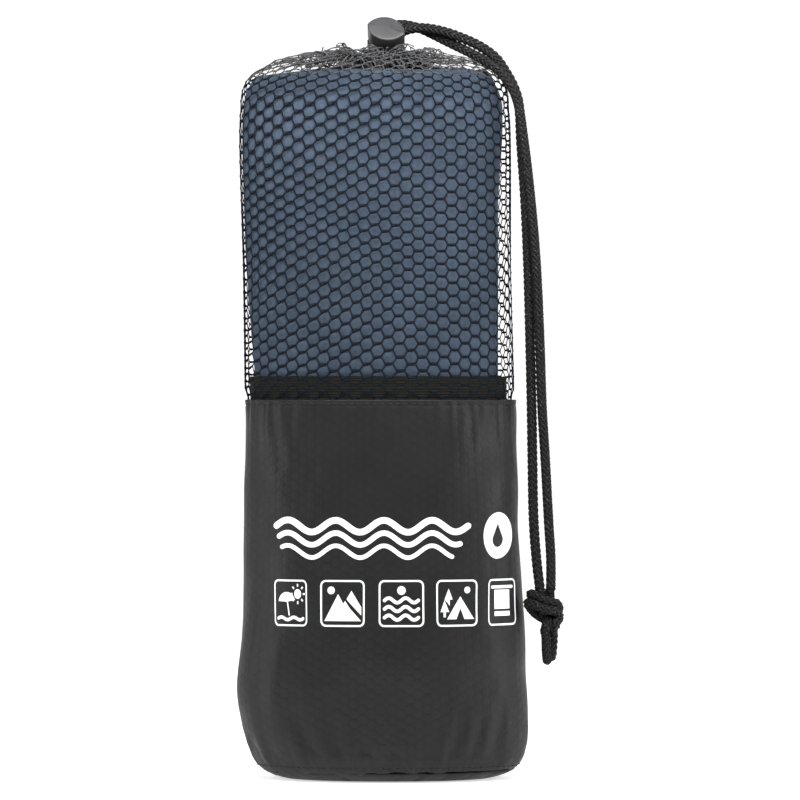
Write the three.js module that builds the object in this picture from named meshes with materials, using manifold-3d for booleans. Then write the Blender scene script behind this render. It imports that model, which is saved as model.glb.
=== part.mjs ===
// A quick dry towel, folded and rolled flat, standing in its drawstring pouch.
// Millimetres, +Z up. The pouch stands on z = 0 with the printed front towards -Y.
import * as THREE from "three";
import { mergeVertices } from "three/addons/utils/BufferGeometryUtils.js";
import Module from "manifold-3d";

// ---------------------------------------------------------------- driving dimensions

const CLEARANCE = 0.3; // between pieces that touch on the real object
const CLOTH = 0.8; // wall of the nylon and of the net, as solids
const SQUARENESS = 2.2; // superellipse power of every level section: 2 is an ellipse
const SECTION_POINTS = 48;

// The pouch's outside, from the floor up: height, left edge, right edge, half depth.
const POUCH_LEVELS = [
  { z: 0, left: -40, right: 44, halfDepth: 20 },
  { z: 3.5, left: -47, right: 52, halfDepth: 25.5 },
  { z: 9, left: -51.5, right: 55.4, halfDepth: 27.5 },
  { z: 30, left: -56, right: 56.2, halfDepth: 29 },
  { z: 60, left: -55.6, right: 55.5, halfDepth: 29.5 },
  { z: 120, left: -53.8, right: 53, halfDepth: 29 },
  { z: 148, left: -52.3, right: 51.2, halfDepth: 28 },
  { z: 200, left: -55, right: 50.6, halfDepth: 27.2 },
  { z: 245, left: -56.2, right: 49.6, halfDepth: 27 },
  { z: 262, left: -55.8, right: 48.6, halfDepth: 26.2 },
  { z: 271, left: -53.6, right: 46.3, halfDepth: 24 },
];
const BASE_EDGE_Z = 2; // where the base's floor has turned up into its side
const BASE_SEAM_Z = 4;
const SEAM_BINDING_HEIGHT = 4.5;
const HEM_HEIGHT = 8;
const POCKET_TOP = 148;
const SHOULDER_Z = 271;
const BACK_SEAM_WIDTH = 8;
const BACK_SEAM_THICK = 0.8;
const BACK_SEAM_SHORT = 4; // how far the net's back seam stops below the shoulder

// The gathered neck: a ring of folded net that holds the cord.
const NECK = { x: 1.4, y: -3, z: 279.5, radiusX: 14.5, radiusY: 11 };
const CHANNEL_OUTER_R = 3.2;
const CHANNEL_INNER_R = 2.2;
const CHANNEL_MOUTH = THREE.MathUtils.degToRad(28); // half angle left open at the front
const CROWN_TOP_Z = 281;
const CROWN_RIM_Z = 275.6;
const CROWN_RIM_GROWN = 1.5; // how far outside the neck's middle line the crown ends
const CROWN_RISE = CROWN_TOP_Z - SHOULDER_Z;
const CROWN_RIM = (CROWN_RIM_Z - SHOULDER_Z) / CROWN_RISE;

// The crown's outline: shares of the way in from the shoulder to the rim, and of its rise.
const CROWN_PROFILE = [
  { share: 0, up: 0 },
  { share: 0.07, up: 0.36 },
  { share: 0.2, up: 0.64 },
  { share: 0.45, up: 1 },
  { share: 0.62, up: 0.9 },
  { share: 0.88, up: CROWN_RIM + 0.06 },
  { share: 1, up: CROWN_RIM },
];

// The towel, and the elastic that draws its waist in.
const TOWEL = { bottom: 1.5, top: 273.5, left: -54.6, right: 48.4, halfDepth: 24.4 };
const TOWEL_HEIGHTS = [5, 10, 20, 50, 85, 122, 142, 157, 190, 225, 250, 262, 269];
const TOWEL_ROOM = CLOTH + BACK_SEAM_THICK + 4 * CLEARANCE; // from the pouch's outside
const TOWEL_ROOM_IN_NET = CLOTH + 2 * CLEARANCE; // the same at the sides of the net
const END_ROUNDING = 12; // height over which the top edge is rounded over
const END_DRAW = 0.13; // share of its size that the very top loses
const WAIST_Z = 142;
const WAIST_REACH = 50;
const WAIST_DRAW = 0.1; // share of the width that the elastic takes away
const BAND_BOTTOM = 122;
const BAND_TOP = 157;
const BAND_THICK = 1.2;

// The cord lock: where its button's face is, which way it looks, and its sizes along
// its own axes. x runs along the lens-shaped section, y through the cord hole, z out of
// the button. Heights are measured from the middle of the cord hole.
const LOCK_FACE = new THREE.Vector3(1.4, -17, 291.7);
const LOCK_TILT = THREE.MathUtils.degToRad(58); // the button's axis, from upright to -Y
const LOCK_SLANT = THREE.MathUtils.degToRad(15.2); // the lens drops to the right
const BUTTON = { length: 14.9, width: 11, top: 13.7, bottom: 6.5, edge: 0.5 };
const BUTTON_TRAVEL = 2.6;
const STEM = { length: 12.4, width: 7.9, bottom: -3.7 };
const STEM_WINDOW = { width: 8.4, bottom: -2.2, top: 2.2 + BUTTON_TRAVEL };
const LOCK_BODY = { length: 15.4, width: 11.4, bottom: -9.2, floor: -8, edge: 0.5 };
const CORD_HOLE = { width: 8.4, height: 4.4 };
const TIP_R = 1;
const SPRING = { radius: 2.6, wire: 0.3, turns: 3.5 };

// The cord: one length, which runs round the neck and leaves the lock as two strands.
const CORD_D = 3.8;
const CORD_SIDES = 8;
const KNOT = { x: 62.4, y: -9, z: 65.9, radiusX: 7.4, radiusY: 6, radiusZ: 7.4 };
const TAIL = { topX: 64.6, tipX: 64.9, topZ: 58, tipZ: 45, halfX: 1.3, halfY: 1.5 };
const STRAND_BESIDE = CORD_D / 2 + 0.1; // from the hole's middle to each strand's middle
const STRAIGHT_RUN = 5.8; // how far the cord runs straight on each side of the lock
const NECK_LEAD_RIGHT = new THREE.Vector3(3.2, -12.2, 278.6); // between lock and channel
const NECK_LEAD_LEFT = new THREE.Vector3(-1.9, -12.2, 278.4);
const CHANNEL_ENTRY = { angle: 0.7 * CHANNEL_MOUTH, z: NECK.z - 0.2, grown: 0.1 };

// The strands' middle line from the lock to the knot, with half the distance between the
// two and the angle that they have turned round each other, in degrees.
const PAIR_ROUTE = [
  { at: [3.45, -1.95, 290], half: 2.1, turn: 80 },
  { at: [4.8, -0.7, 292], half: 2.15, turn: 70 },
  { at: [7.4, 0.4, 293.5], half: 2.15, turn: 48 },
  { at: [10.6, 0.9, 293.8], half: 2.05, turn: 24 },
  { at: [14.4, 0.6, 293.4], half: 2.03, turn: 4 },
  { at: [19, -0.6, 292.1], half: 2.03, turn: -20 },
  { at: [24.6, -2.8, 289.9], half: 2.03, turn: -45 },
  { at: [31.4, -5.4, 286.8], half: 2.03, turn: -68 },
  { at: [37.9, -7.9, 283.3], half: 2.03, turn: -95 },
  { at: [42.9, -9.9, 279.7], half: 2.03, turn: -122 },
  { at: [46.8, -11.4, 275.3], half: 2.03, turn: -150 },
  { at: [50, -12.6, 270.3], half: 2.03, turn: -163 },
  { at: [52.5, -13.2, 264], half: 2.03, turn: -172 },
  { at: [54.4, -13.4, 247.3], half: 2.03, turn: -195 },
  { at: [56.4, -13, 226.2], half: 2.03, turn: -210 },
  { at: [58, -12.4, 202.4], half: 2.03, turn: -228 },
  { at: [59.2, -11.6, 172], half: 2.03, turn: -245 },
  { at: [60, -10.8, 145], half: 2.05, turn: -260 },
  { at: [60.8, -10.2, 124.4], half: 2.5, turn: -268 },
  { at: [61.7, -9.6, 101], half: 2.9, turn: -270 },
  { at: [62.7, -9.2, 86], half: 2.8, turn: -270 },
  { at: [63.4, -9, 74], half: 2.1, turn: -270 },
];

// ---------------------------------------------------------------- helpers

const wasm = await Module();
wasm.setup();

function toSolid(geometry) {
  const bare = geometry.clone();
  bare.deleteAttribute("normal");
  bare.deleteAttribute("uv");
  const merged = mergeVertices(bare, 1e-4);
  return new wasm.Manifold(
    new wasm.Mesh({
      numProp: 3,
      vertProperties: merged.attributes.position.array,
      triVerts: new Uint32Array(merged.index.array),
    }),
  );
}

function toGeometry(solid) {
  const mesh = solid.getMesh();
  const geometry = new THREE.BufferGeometry();
  geometry.setAttribute("position", new THREE.BufferAttribute(mesh.vertProperties, 3));
  geometry.setIndex(new THREE.BufferAttribute(mesh.triVerts, 1));
  return geometry;
}

// A closed surface through level sections of equal point counts. A profile that closes
// on itself gives a ring or a wall. Otherwise the first and last section are filled in.
function loft(sections, profileCloses) {
  const points = sections.flat();
  const count = sections[0].length;
  const faces = [];
  const bands = profileCloses ? sections.length : sections.length - 1;
  for (let i = 0; i < bands; i++) {
    const low = i * count;
    const high = ((i + 1) % sections.length) * count;
    for (let j = 0; j < count; j++) {
      const k = (j + 1) % count;
      faces.push(low + j, low + k, high + k);
      faces.push(low + j, high + k, high + j);
    }
  }
  if (!profileCloses) {
    const last = (sections.length - 1) * count;
    for (let j = 1; j < count - 1; j++) {
      faces.push(0, j + 1, j);
      faces.push(last, last + j, last + j + 1);
    }
  }
  const geometry = new THREE.BufferGeometry();
  const flat = points.flatMap((p) => [p.x, p.y, p.z]);
  geometry.setAttribute("position", new THREE.Float32BufferAttribute(flat, 3));
  geometry.setIndex(faces);
  return geometry;
}

// A level section: a superellipse, counter-clockwise from above.
function section(left, right, halfDepth, z) {
  const middle = (left + right) / 2;
  const halfWidth = (right - left) / 2;
  const power = 2 / SQUARENESS;
  return Array.from({ length: SECTION_POINTS }, (_, i) => {
    const angle = (2 * Math.PI * i) / SECTION_POINTS;
    const c = Math.cos(angle);
    const s = Math.sin(angle);
    return new THREE.Vector3(
      middle + halfWidth * Math.sign(c) * Math.abs(c) ** power,
      halfDepth * Math.sign(s) * Math.abs(s) ** power,
      z,
    );
  });
}

// The pouch's edges at a height, between the levels above and below it.
function pouchAt(z) {
  const next = Math.max(1, POUCH_LEVELS.findIndex((level) => level.z >= z));
  const [low, high] = [POUCH_LEVELS[next - 1], POUCH_LEVELS[next]];
  const share = (z - low.z) / (high.z - low.z);
  const mix = (key) => THREE.MathUtils.lerp(low[key], high[key], share);
  return { left: mix("left"), right: mix("right"), halfDepth: mix("halfDepth") };
}

function pouchSection(z, inset) {
  const edge = pouchAt(z);
  return section(edge.left + inset, edge.right - inset, edge.halfDepth - inset, z);
}

// The heights of the levels between two heights, with both ends.
function levelsBetween(bottom, top) {
  const between = POUCH_LEVELS.map((level) => level.z).filter(
    (z) => z > bottom + 1 && z < top - 1,
  );
  return [bottom, ...between, top];
}

// A wall that follows the pouch's outside between two heights.
function pouchWall(bottom, top, inset, thickness) {
  const heights = levelsBetween(bottom, top);
  const outside = heights.map((z) => pouchSection(z, inset));
  const inside = heights.toReversed().map((z) => pouchSection(z, inset + thickness));
  return loft([...outside, ...inside], true);
}

// A flat strip that follows the inside of the pouch's back.
function backStrip(bottom, top, inset) {
  const sections = levelsBetween(bottom, top).map((z) => {
    const edge = pouchAt(z);
    const middle = (edge.left + edge.right) / 2;
    const outer = edge.halfDepth - inset;
    const inner = outer - BACK_SEAM_THICK;
    return [
      new THREE.Vector3(middle - BACK_SEAM_WIDTH / 2, inner, z),
      new THREE.Vector3(middle + BACK_SEAM_WIDTH / 2, inner, z),
      new THREE.Vector3(middle + BACK_SEAM_WIDTH / 2, outer, z),
      new THREE.Vector3(middle - BACK_SEAM_WIDTH / 2, outer, z),
    ];
  });
  return loft(sections, false);
}

function circle(radius, sides) {
  const points = Array.from({ length: sides }, (_, i) => {
    const angle = (2 * Math.PI * i) / sides;
    return new THREE.Vector2(radius * Math.cos(angle), radius * Math.sin(angle));
  });
  return new THREE.Shape(points);
}

function tube(curve, radius, sides, steps) {
  return new THREE.ExtrudeGeometry(circle(radius, sides), { extrudePath: curve, steps });
}

// A lens: two long arcs that meet in round tips.
function lens(length, width) {
  const tipAt = length / 2 - TIP_R;
  const rise = width / 2 - TIP_R;
  const radius = (tipAt ** 2 + rise ** 2) / (2 * rise);
  const drop = radius - rise;
  const reach = Math.asin(tipAt / radius);
  const quarter = Math.PI / 2;
  const shape = new THREE.Shape();
  shape.absarc(0, -drop, radius + TIP_R, quarter - reach, quarter + reach);
  shape.absarc(-tipAt, 0, TIP_R, quarter + reach, 3 * quarter - reach);
  shape.absarc(0, drop, radius + TIP_R, 3 * quarter - reach, 3 * quarter + reach);
  shape.absarc(tipAt, 0, TIP_R, -quarter + reach, quarter - reach);
  return shape;
}

function lensPrism(length, width, bottom, top, edge = 0) {
  const geometry = new THREE.ExtrudeGeometry(lens(length, width), {
    depth: top - bottom - 2 * edge,
    curveSegments: 9,
    bevelEnabled: edge > 0,
    bevelThickness: edge,
    bevelSize: edge,
    bevelOffset: -edge,
    bevelSegments: 2,
  });
  return geometry.translate(0, 0, bottom + edge);
}

// A bar along Y with round sides, for the hole that the two strands pass.
function roundSidedBar(width, height, middleZ, depth) {
  const reach = (width - height) / 2;
  const shape = new THREE.Shape();
  shape.absarc(reach, 0, height / 2, -Math.PI / 2, Math.PI / 2);
  shape.absarc(-reach, 0, height / 2, Math.PI / 2, (3 * Math.PI) / 2);
  const options = { depth, bevelEnabled: false, curveSegments: 6 };
  const bar = new THREE.ExtrudeGeometry(shape, options).translate(0, 0, -depth / 2);
  return bar.rotateX(Math.PI / 2).translate(0, 0, middleZ);
}

const part = new THREE.Group();

function add(name, geometry, material, parent = part) {
  const mesh = new THREE.Mesh(geometry, material);
  mesh.name = name;
  parent.add(mesh);
  return mesh;
}

// ---------------------------------------------------------------- materials

const cloth = (color) => new THREE.MeshStandardMaterial({ color, roughness: 0.85 });
const towelCloth = () => cloth("#58697f");
const nylonCloth = () => cloth("#3e3e40");
const netCloth = () => cloth("#17171a");
const cordCloth = () => cloth("#1d1d1f");
const elasticCloth = () => cloth("#242426");
const lockPlastic = () =>
  new THREE.MeshStandardMaterial({ color: "#2a2a2c", roughness: 0.45 });
const springSteel = () =>
  new THREE.MeshStandardMaterial({ color: "#b9bcc0", roughness: 0.3, metalness: 1 });

// ---------------------------------------------------------------- towel

// How much of its full width the bundle keeps at a height, under the elastic's pull.
function waist(z) {
  return 1 - WAIST_DRAW * Math.exp(-(((z - WAIST_Z) / WAIST_REACH) ** 2));
}

// The bundle's section at a height, grown by some distance. Its bottom follows the
// pouch's base, and its top is rounded over.
function towelSection(z, grown = 0) {
  const pouch = pouchAt(z);
  const besides = z > POCKET_TOP ? TOWEL_ROOM_IN_NET : TOWEL_ROOM;
  const ends = Math.min(1, (TOWEL.top - z) / END_ROUNDING);
  const round = 1 - END_DRAW * (1 - ends) ** 2;
  const left = Math.max(TOWEL.left * waist(z), pouch.left + besides) * round - grown;
  const right = Math.min(TOWEL.right * waist(z), pouch.right - besides) * round + grown;
  const deepest = Math.min(TOWEL.halfDepth, pouch.halfDepth - TOWEL_ROOM);
  const halfDepth = deepest * round + grown;
  return section(left, right, halfDepth, z);
}

function buildTowel() {
  const heights = [TOWEL.bottom, ...TOWEL_HEIGHTS, TOWEL.top];
  const bundle = heights.map((z) => towelSection(z));
  add("towel_bundle", loft(bundle, false), towelCloth());

  const bandHeights = [BAND_BOTTOM, WAIST_Z, BAND_TOP];
  const outside = bandHeights.map((z) => towelSection(z, CLEARANCE + BAND_THICK));
  const inside = bandHeights.toReversed().map((z) => towelSection(z, CLEARANCE));
  add("towel_elastic_band", loft([...outside, ...inside], true), elasticCloth());
}

// ---------------------------------------------------------------- nylon pocket

function buildPocket() {
  const wallBottom = BASE_SEAM_Z + CLEARANCE;
  const hemBottom = POCKET_TOP - HEM_HEIGHT;
  const baseLevels = [0, BASE_EDGE_Z, BASE_SEAM_Z];
  const baseOutside = baseLevels.map((z) => pouchSection(z, 0));
  const baseInside = baseLevels.toReversed().map((z) => pouchSection(z, CLOTH));
  baseInside.at(-1).forEach((p) => p.setZ(CLOTH));
  const base = [...baseOutside, ...baseInside];
  add("pocket_base_panel", loft(base, false), nylonCloth());
  add("pocket_wall", pouchWall(wallBottom, hemBottom - CLEARANCE, 0, CLOTH), nylonCloth());
  add("pocket_hem", pouchWall(hemBottom, POCKET_TOP, 0, CLOTH + CLEARANCE), nylonCloth());

  const bindingBottom = wallBottom + CLEARANCE;
  const bindingTop = bindingBottom + SEAM_BINDING_HEIGHT;
  const bindingInset = CLOTH + CLEARANCE;
  add(
    "base_seam_binding",
    pouchWall(bindingBottom, bindingTop, bindingInset, BACK_SEAM_THICK),
    nylonCloth(),
  );
  const seamBottom = bindingTop + CLEARANCE;
  const seamTop = hemBottom - 2 * CLEARANCE;
  add("pocket_back_seam", backStrip(seamBottom, seamTop, bindingInset), nylonCloth());
}

// ---------------------------------------------------------------- net

// A point on the neck's ring. Angle 0 is at the front, and it grows towards the right.
function neckPoint(angle, z, grown = 0) {
  return new THREE.Vector3(
    NECK.x + (NECK.radiusX + grown) * Math.sin(angle),
    NECK.y - (NECK.radiusY + grown) * Math.cos(angle),
    z,
  );
}

// The crown's section, from the shoulder, at 0, to the rim under the neck, at 1.
function crownSection(share, z, inset) {
  const shoulder = pouchSection(SHOULDER_Z, inset);
  return shoulder.map((p, i) => {
    const angle = (2 * Math.PI * i) / SECTION_POINTS + Math.PI / 2;
    return p.clone().lerp(neckPoint(angle, z, CROWN_RIM_GROWN), share).setZ(z);
  });
}

function buildNet() {
  const sleeveBottom = POCKET_TOP + CLEARANCE;
  const sleeveTop = SHOULDER_Z - CLEARANCE;
  add("net_sleeve", pouchWall(sleeveBottom, sleeveTop, 0, CLOTH), netCloth());
  const seamInset = CLOTH + CLEARANCE;
  const seamTop = sleeveTop - BACK_SEAM_SHORT;
  add("net_back_seam", backStrip(sleeveBottom, seamTop, seamInset), netCloth());

  const crownLevel = ({ share, up }, inset) =>
    crownSection(share, SHOULDER_Z + up * CROWN_RISE - inset, inset);
  const outside = CROWN_PROFILE.map((step) => crownLevel(step, 0));
  const inside = CROWN_PROFILE.toReversed().map((step) => crownLevel(step, CLOTH));
  inside.at(-1).forEach((p) => p.setZ(SHOULDER_Z));
  add("net_crown", loft([...outside, ...inside], true), netCloth());

  const arc = Array.from({ length: 25 }, (_, i) => {
    const angle = CHANNEL_MOUTH + ((2 * Math.PI - 2 * CHANNEL_MOUTH) * i) / 24;
    return neckPoint(angle, NECK.z);
  });
  const pipe = circle(CHANNEL_OUTER_R, 10);
  pipe.holes.push(circle(CHANNEL_INNER_R, 10));
  const path = new THREE.CatmullRomCurve3(arc);
  const options = { extrudePath: path, steps: 28 };
  add("cord_channel", new THREE.ExtrudeGeometry(pipe, options), netCloth());
}

// ---------------------------------------------------------------- cord lock

// A group whose own axes are the lock's: x along the lens, y through the cord hole and z
// out of the button, with the middle of the cord hole at its origin.
function lockFrame() {
  const out = new THREE.Vector3(0, -Math.sin(LOCK_TILT), Math.cos(LOCK_TILT));
  const dropped = Math.tan(LOCK_SLANT);
  const along = new THREE.Vector3(1, (out.z / out.y) * dropped, -dropped).normalize();
  const through = out.clone().cross(along);
  const frame = new THREE.Group();
  frame.quaternion.setFromRotationMatrix(
    new THREE.Matrix4().makeBasis(along, through, out),
  );
  frame.position.copy(LOCK_FACE).addScaledVector(out, -BUTTON.top);
  frame.updateMatrixWorld(true);
  return frame;
}

function buildLock(frame) {
  const bodyTop = BUTTON.bottom - BUTTON_TRAVEL - CLEARANCE;
  const cavity = lensPrism(
    STEM.length + 2 * CLEARANCE,
    STEM.width + 2 * CLEARANCE,
    LOCK_BODY.floor,
    bodyTop + 1,
  );
  const through = 2 * LOCK_BODY.width;
  const hole = roundSidedBar(CORD_HOLE.width, CORD_HOLE.height, 0, through);
  const shell = lensPrism(
    LOCK_BODY.length,
    LOCK_BODY.width,
    LOCK_BODY.bottom,
    bodyTop,
    LOCK_BODY.edge,
  );
  const body = toSolid(shell).subtract(toSolid(cavity)).subtract(toSolid(hole));
  add("cord_lock_body", toGeometry(body), lockPlastic(), frame);

  const head = lensPrism(
    BUTTON.length,
    BUTTON.width,
    BUTTON.bottom,
    BUTTON.top,
    BUTTON.edge,
  );
  const stem = lensPrism(STEM.length, STEM.width, STEM.bottom, BUTTON.bottom + 1);
  const windowHeight = STEM_WINDOW.top - STEM_WINDOW.bottom;
  const windowMiddle = (STEM_WINDOW.top + STEM_WINDOW.bottom) / 2;
  const window = new THREE.BoxGeometry(STEM_WINDOW.width, through, windowHeight);
  window.translate(0, 0, windowMiddle);
  const button = toSolid(head).add(toSolid(stem)).subtract(toSolid(window));
  add("cord_lock_button", toGeometry(button), lockPlastic(), frame);

  const low = LOCK_BODY.floor + CLEARANCE + SPRING.wire;
  const high = STEM.bottom - CLEARANCE - SPRING.wire;
  const coils = Array.from({ length: SPRING.turns * 10 + 1 }, (_, i) => {
    const angle = (2 * Math.PI * i) / 10;
    return new THREE.Vector3(
      SPRING.radius * Math.cos(angle),
      SPRING.radius * Math.sin(angle),
      THREE.MathUtils.lerp(low, high, i / (SPRING.turns * 10)),
    );
  });
  const wire = new THREE.CatmullRomCurve3(coils);
  add("cord_lock_spring", tube(wire, SPRING.wire, 6, 36), springSteel(), frame);
}

// ---------------------------------------------------------------- cord

// One strand's line: the pair's middle line, with the strand to its left, -1, or right, 1.
function strandPoints(side) {
  const middle = new THREE.CatmullRomCurve3(
    PAIR_ROUTE.map(({ at }) => new THREE.Vector3(...at)),
  );
  return PAIR_ROUTE.map(({ at, half, turn }, i) => {
    const tangent = middle.getTangent(i / (PAIR_ROUTE.length - 1));
    const deep = new THREE.Vector3(0, 1, 0).projectOnPlane(tangent).normalize();
    const across = tangent.clone().cross(deep);
    const angle = THREE.MathUtils.degToRad(turn);
    return new THREE.Vector3(...at)
      .addScaledVector(deep, side * half * Math.cos(angle))
      .addScaledVector(across, side * half * Math.sin(angle));
  });
}

// The cord's run round the neck: in through the lock, once round inside the channel, and
// out through the lock again, beside itself.
function channelCordPoints(frame) {
  const inLock = (x, y, z) => frame.localToWorld(new THREE.Vector3(x, y, z));
  const ring = Array.from({ length: 17 }, (_, i) => {
    const angle = CHANNEL_MOUTH + ((2 * Math.PI - 2 * CHANNEL_MOUTH) * i) / 16;
    return neckPoint(angle, NECK.z);
  });
  const entry = (side) =>
    neckPoint(side * CHANNEL_ENTRY.angle, CHANNEL_ENTRY.z, CHANNEL_ENTRY.grown);
  const lead = [
    inLock(STRAND_BESIDE, STRAIGHT_RUN, 0),
    inLock(STRAND_BESIDE, 0, 0),
    inLock(STRAND_BESIDE, -STRAIGHT_RUN, 0),
    NECK_LEAD_RIGHT,
    entry(1),
  ];
  const back = [
    entry(-1),
    NECK_LEAD_LEFT,
    inLock(-STRAND_BESIDE, -STRAIGHT_RUN, 0),
    inLock(-STRAND_BESIDE, 0, 0),
    inLock(-STRAND_BESIDE, STRAIGHT_RUN, 0),
  ];
  return [...lead, ...ring, ...back];
}

function buildCord(frame) {
  const radius = CORD_D / 2;
  const run = new THREE.CatmullRomCurve3(channelCordPoints(frame));
  add("channel_cord", tube(run, radius, CORD_SIDES, 36), cordCloth());
  for (const [side, word] of [
    [-1, "left"],
    [1, "right"],
  ]) {
    const strand = new THREE.CatmullRomCurve3(strandPoints(side));
    add(`drawcord_strand_${word}`, tube(strand, radius, CORD_SIDES, 30), cordCloth());
    const tailEnd = (x, z) =>
      new THREE.Vector3(x + side * TAIL.halfX, KNOT.y + side * TAIL.halfY, z);
    const top = tailEnd(TAIL.topX, TAIL.topZ);
    const tail = new THREE.LineCurve3(top, tailEnd(TAIL.tipX, TAIL.tipZ));
    add(`drawcord_tail_${word}`, tube(tail, radius, CORD_SIDES, 1), cordCloth());
  }
  const knot = new THREE.SphereGeometry(1, 16, 10).rotateX(Math.PI / 2);
  knot.scale(KNOT.radiusX, KNOT.radiusY, KNOT.radiusZ);
  add("drawcord_knot", knot.translate(KNOT.x, KNOT.y, KNOT.z), cordCloth());
}

// ---------------------------------------------------------------- assembly

buildTowel();
buildPocket();
buildNet();
const lock = lockFrame();
part.add(lock);
buildLock(lock);
buildCord(lock);

export default part;
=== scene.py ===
# A quick dry towel, folded and rolled flat, in its drawstring pouch.
# Shapes are worked out in millimetres and written to Blender in metres.
import math

import bpy
import numpy as np
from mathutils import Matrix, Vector
from mathutils.geometry import delaunay_2d_cdt


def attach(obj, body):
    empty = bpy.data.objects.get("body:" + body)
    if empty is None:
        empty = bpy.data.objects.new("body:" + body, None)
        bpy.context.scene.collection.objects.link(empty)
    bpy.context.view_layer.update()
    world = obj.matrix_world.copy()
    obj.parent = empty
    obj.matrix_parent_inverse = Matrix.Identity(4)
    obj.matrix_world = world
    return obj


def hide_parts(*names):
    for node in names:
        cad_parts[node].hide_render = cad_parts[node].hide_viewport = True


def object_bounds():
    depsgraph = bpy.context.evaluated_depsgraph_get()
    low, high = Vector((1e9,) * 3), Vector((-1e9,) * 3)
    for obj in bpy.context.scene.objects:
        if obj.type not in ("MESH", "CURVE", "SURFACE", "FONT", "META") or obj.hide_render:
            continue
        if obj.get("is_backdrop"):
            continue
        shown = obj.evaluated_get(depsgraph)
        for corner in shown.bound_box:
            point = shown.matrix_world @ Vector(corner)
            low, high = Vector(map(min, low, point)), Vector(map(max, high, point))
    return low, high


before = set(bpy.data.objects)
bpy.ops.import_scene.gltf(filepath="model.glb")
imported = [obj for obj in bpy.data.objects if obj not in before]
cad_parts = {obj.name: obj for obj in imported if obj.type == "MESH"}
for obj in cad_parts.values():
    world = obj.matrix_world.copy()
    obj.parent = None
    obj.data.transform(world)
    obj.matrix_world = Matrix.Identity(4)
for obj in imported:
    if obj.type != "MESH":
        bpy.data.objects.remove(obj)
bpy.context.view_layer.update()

MM = 0.001
TAU = 2 * math.pi
BODY = "pouch"
BUTTON_BODY = "lock_button"

# ------------------------------------------------------------------ small maths


def unit(v):
    v = np.asarray(v, float)
    return v / np.maximum(np.linalg.norm(v, axis=-1, keepdims=True), 1e-9)


def smooth(x, low, high):
    t = np.clip((np.asarray(x, float) - low) / (high - low), 0, 1)
    return t * t * (3 - 2 * t)


def mix(a, b, t):
    return a + (b - a) * t


class Ripple:
    """Smooth seeded noise, about -1 to 1, that repeats after `around` in its first number."""

    def __init__(self, seed, around, wave_low, wave_high, count=14, stretch=1.0):
        rng = np.random.default_rng(seed)
        waves = rng.uniform(wave_low, wave_high, count)
        turn = rng.uniform(0, TAU, count)
        self.around = around
        self.k = np.round(around * np.cos(turn) / waves)
        self.m = TAU * np.sin(turn) / waves / stretch
        self.phase = rng.uniform(0, TAU, count)
        self.scale = math.sqrt(2 / count)

    def __call__(self, a, b):
        a, b = np.asarray(a, float), np.asarray(b, float)
        total = 0
        for k, m, p in zip(self.k, self.m, self.phase):
            total = total + np.cos(TAU * k * a / self.around + m * b + p)
        return total * self.scale


def catmull(points, per):
    """A centripetal Catmull-Rom curve through the points, `per` steps to a segment."""
    p = np.asarray(points, float)
    p = np.vstack([2 * p[0] - p[1], p, 2 * p[-1] - p[-2]])
    out = []
    for i in range(1, len(p) - 2):
        p0, p1, p2, p3 = p[i - 1 : i + 3]
        t0 = 0.0
        t1 = t0 + np.linalg.norm(p1 - p0) ** 0.5
        t2 = t1 + np.linalg.norm(p2 - p1) ** 0.5
        t3 = t2 + np.linalg.norm(p3 - p2) ** 0.5
        for t in np.linspace(t1, t2, per, endpoint=False):
            a1 = mix(p0, p1, (t - t0) / (t1 - t0))
            a2 = mix(p1, p2, (t - t1) / (t2 - t1))
            a3 = mix(p2, p3, (t - t2) / (t3 - t2))
            b1 = mix(a1, a2, (t - t0) / (t2 - t0))
            b2 = mix(a2, a3, (t - t1) / (t3 - t1))
            out.append(mix(b1, b2, (t - t1) / (t2 - t1)))
    out.append(p[-2])
    return np.array(out)


def run_length(points):
    steps = np.linalg.norm(np.diff(points, axis=0), axis=1)
    return np.concatenate([[0], np.cumsum(steps)])


def even(points, step):
    """The same line with points about `step` apart."""
    run = run_length(points)
    at = np.linspace(0, run[-1], max(2, int(round(run[-1] / step)) + 1))
    return np.stack([np.interp(at, run, points[:, i]) for i in range(3)], 1)


def carried_normals(points):
    """A normal at each point of a line, carried along without turning about it."""
    tangent = unit(np.gradient(points, axis=0))
    normal = np.cross(tangent[0], [0.0, 1.0, 0.2])
    out = []
    for t in tangent:
        normal = normal - t * np.dot(normal, t)
        normal = normal / np.linalg.norm(normal)
        out.append(normal)
    return np.array(out)


# ------------------------------------------------------------------ meshes


def new_piece(name, verts, faces, material, uv=None, body=BODY):
    """An object from vertices in mm and a list of face arrays. uv has one pair for each vertex
    or one for each corner of a face."""
    mesh = bpy.data.meshes.new(name)
    mesh.vertices.add(len(verts))
    mesh.vertices.foreach_set("co", (np.asarray(verts, float) * MM).ravel())
    loops = np.concatenate([f.ravel() for f in faces]).astype(np.int32)
    counts = np.concatenate([np.full(len(f), f.shape[1]) for f in faces])
    starts = np.concatenate([[0], np.cumsum(counts)[:-1]]).astype(np.int32)
    mesh.loops.add(len(loops))
    mesh.loops.foreach_set("vertex_index", loops)
    mesh.polygons.add(len(counts))
    mesh.polygons.foreach_set("loop_start", starts)
    if uv is not None:
        layer = mesh.uv_layers.new(name="cloth")
        data = uv if len(uv) == len(loops) else uv[loops]
        layer.data.foreach_set("uv", np.asarray(data, float).ravel())
    mesh.update(calc_edges=True)
    mesh.validate()
    mesh.polygons.foreach_set("use_smooth", np.full(len(mesh.polygons), True))
    piece = bpy.data.objects.new(name, mesh)
    bpy.context.scene.collection.objects.link(piece)
    mesh.materials.append(material)
    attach(piece, body)
    return piece


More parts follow.
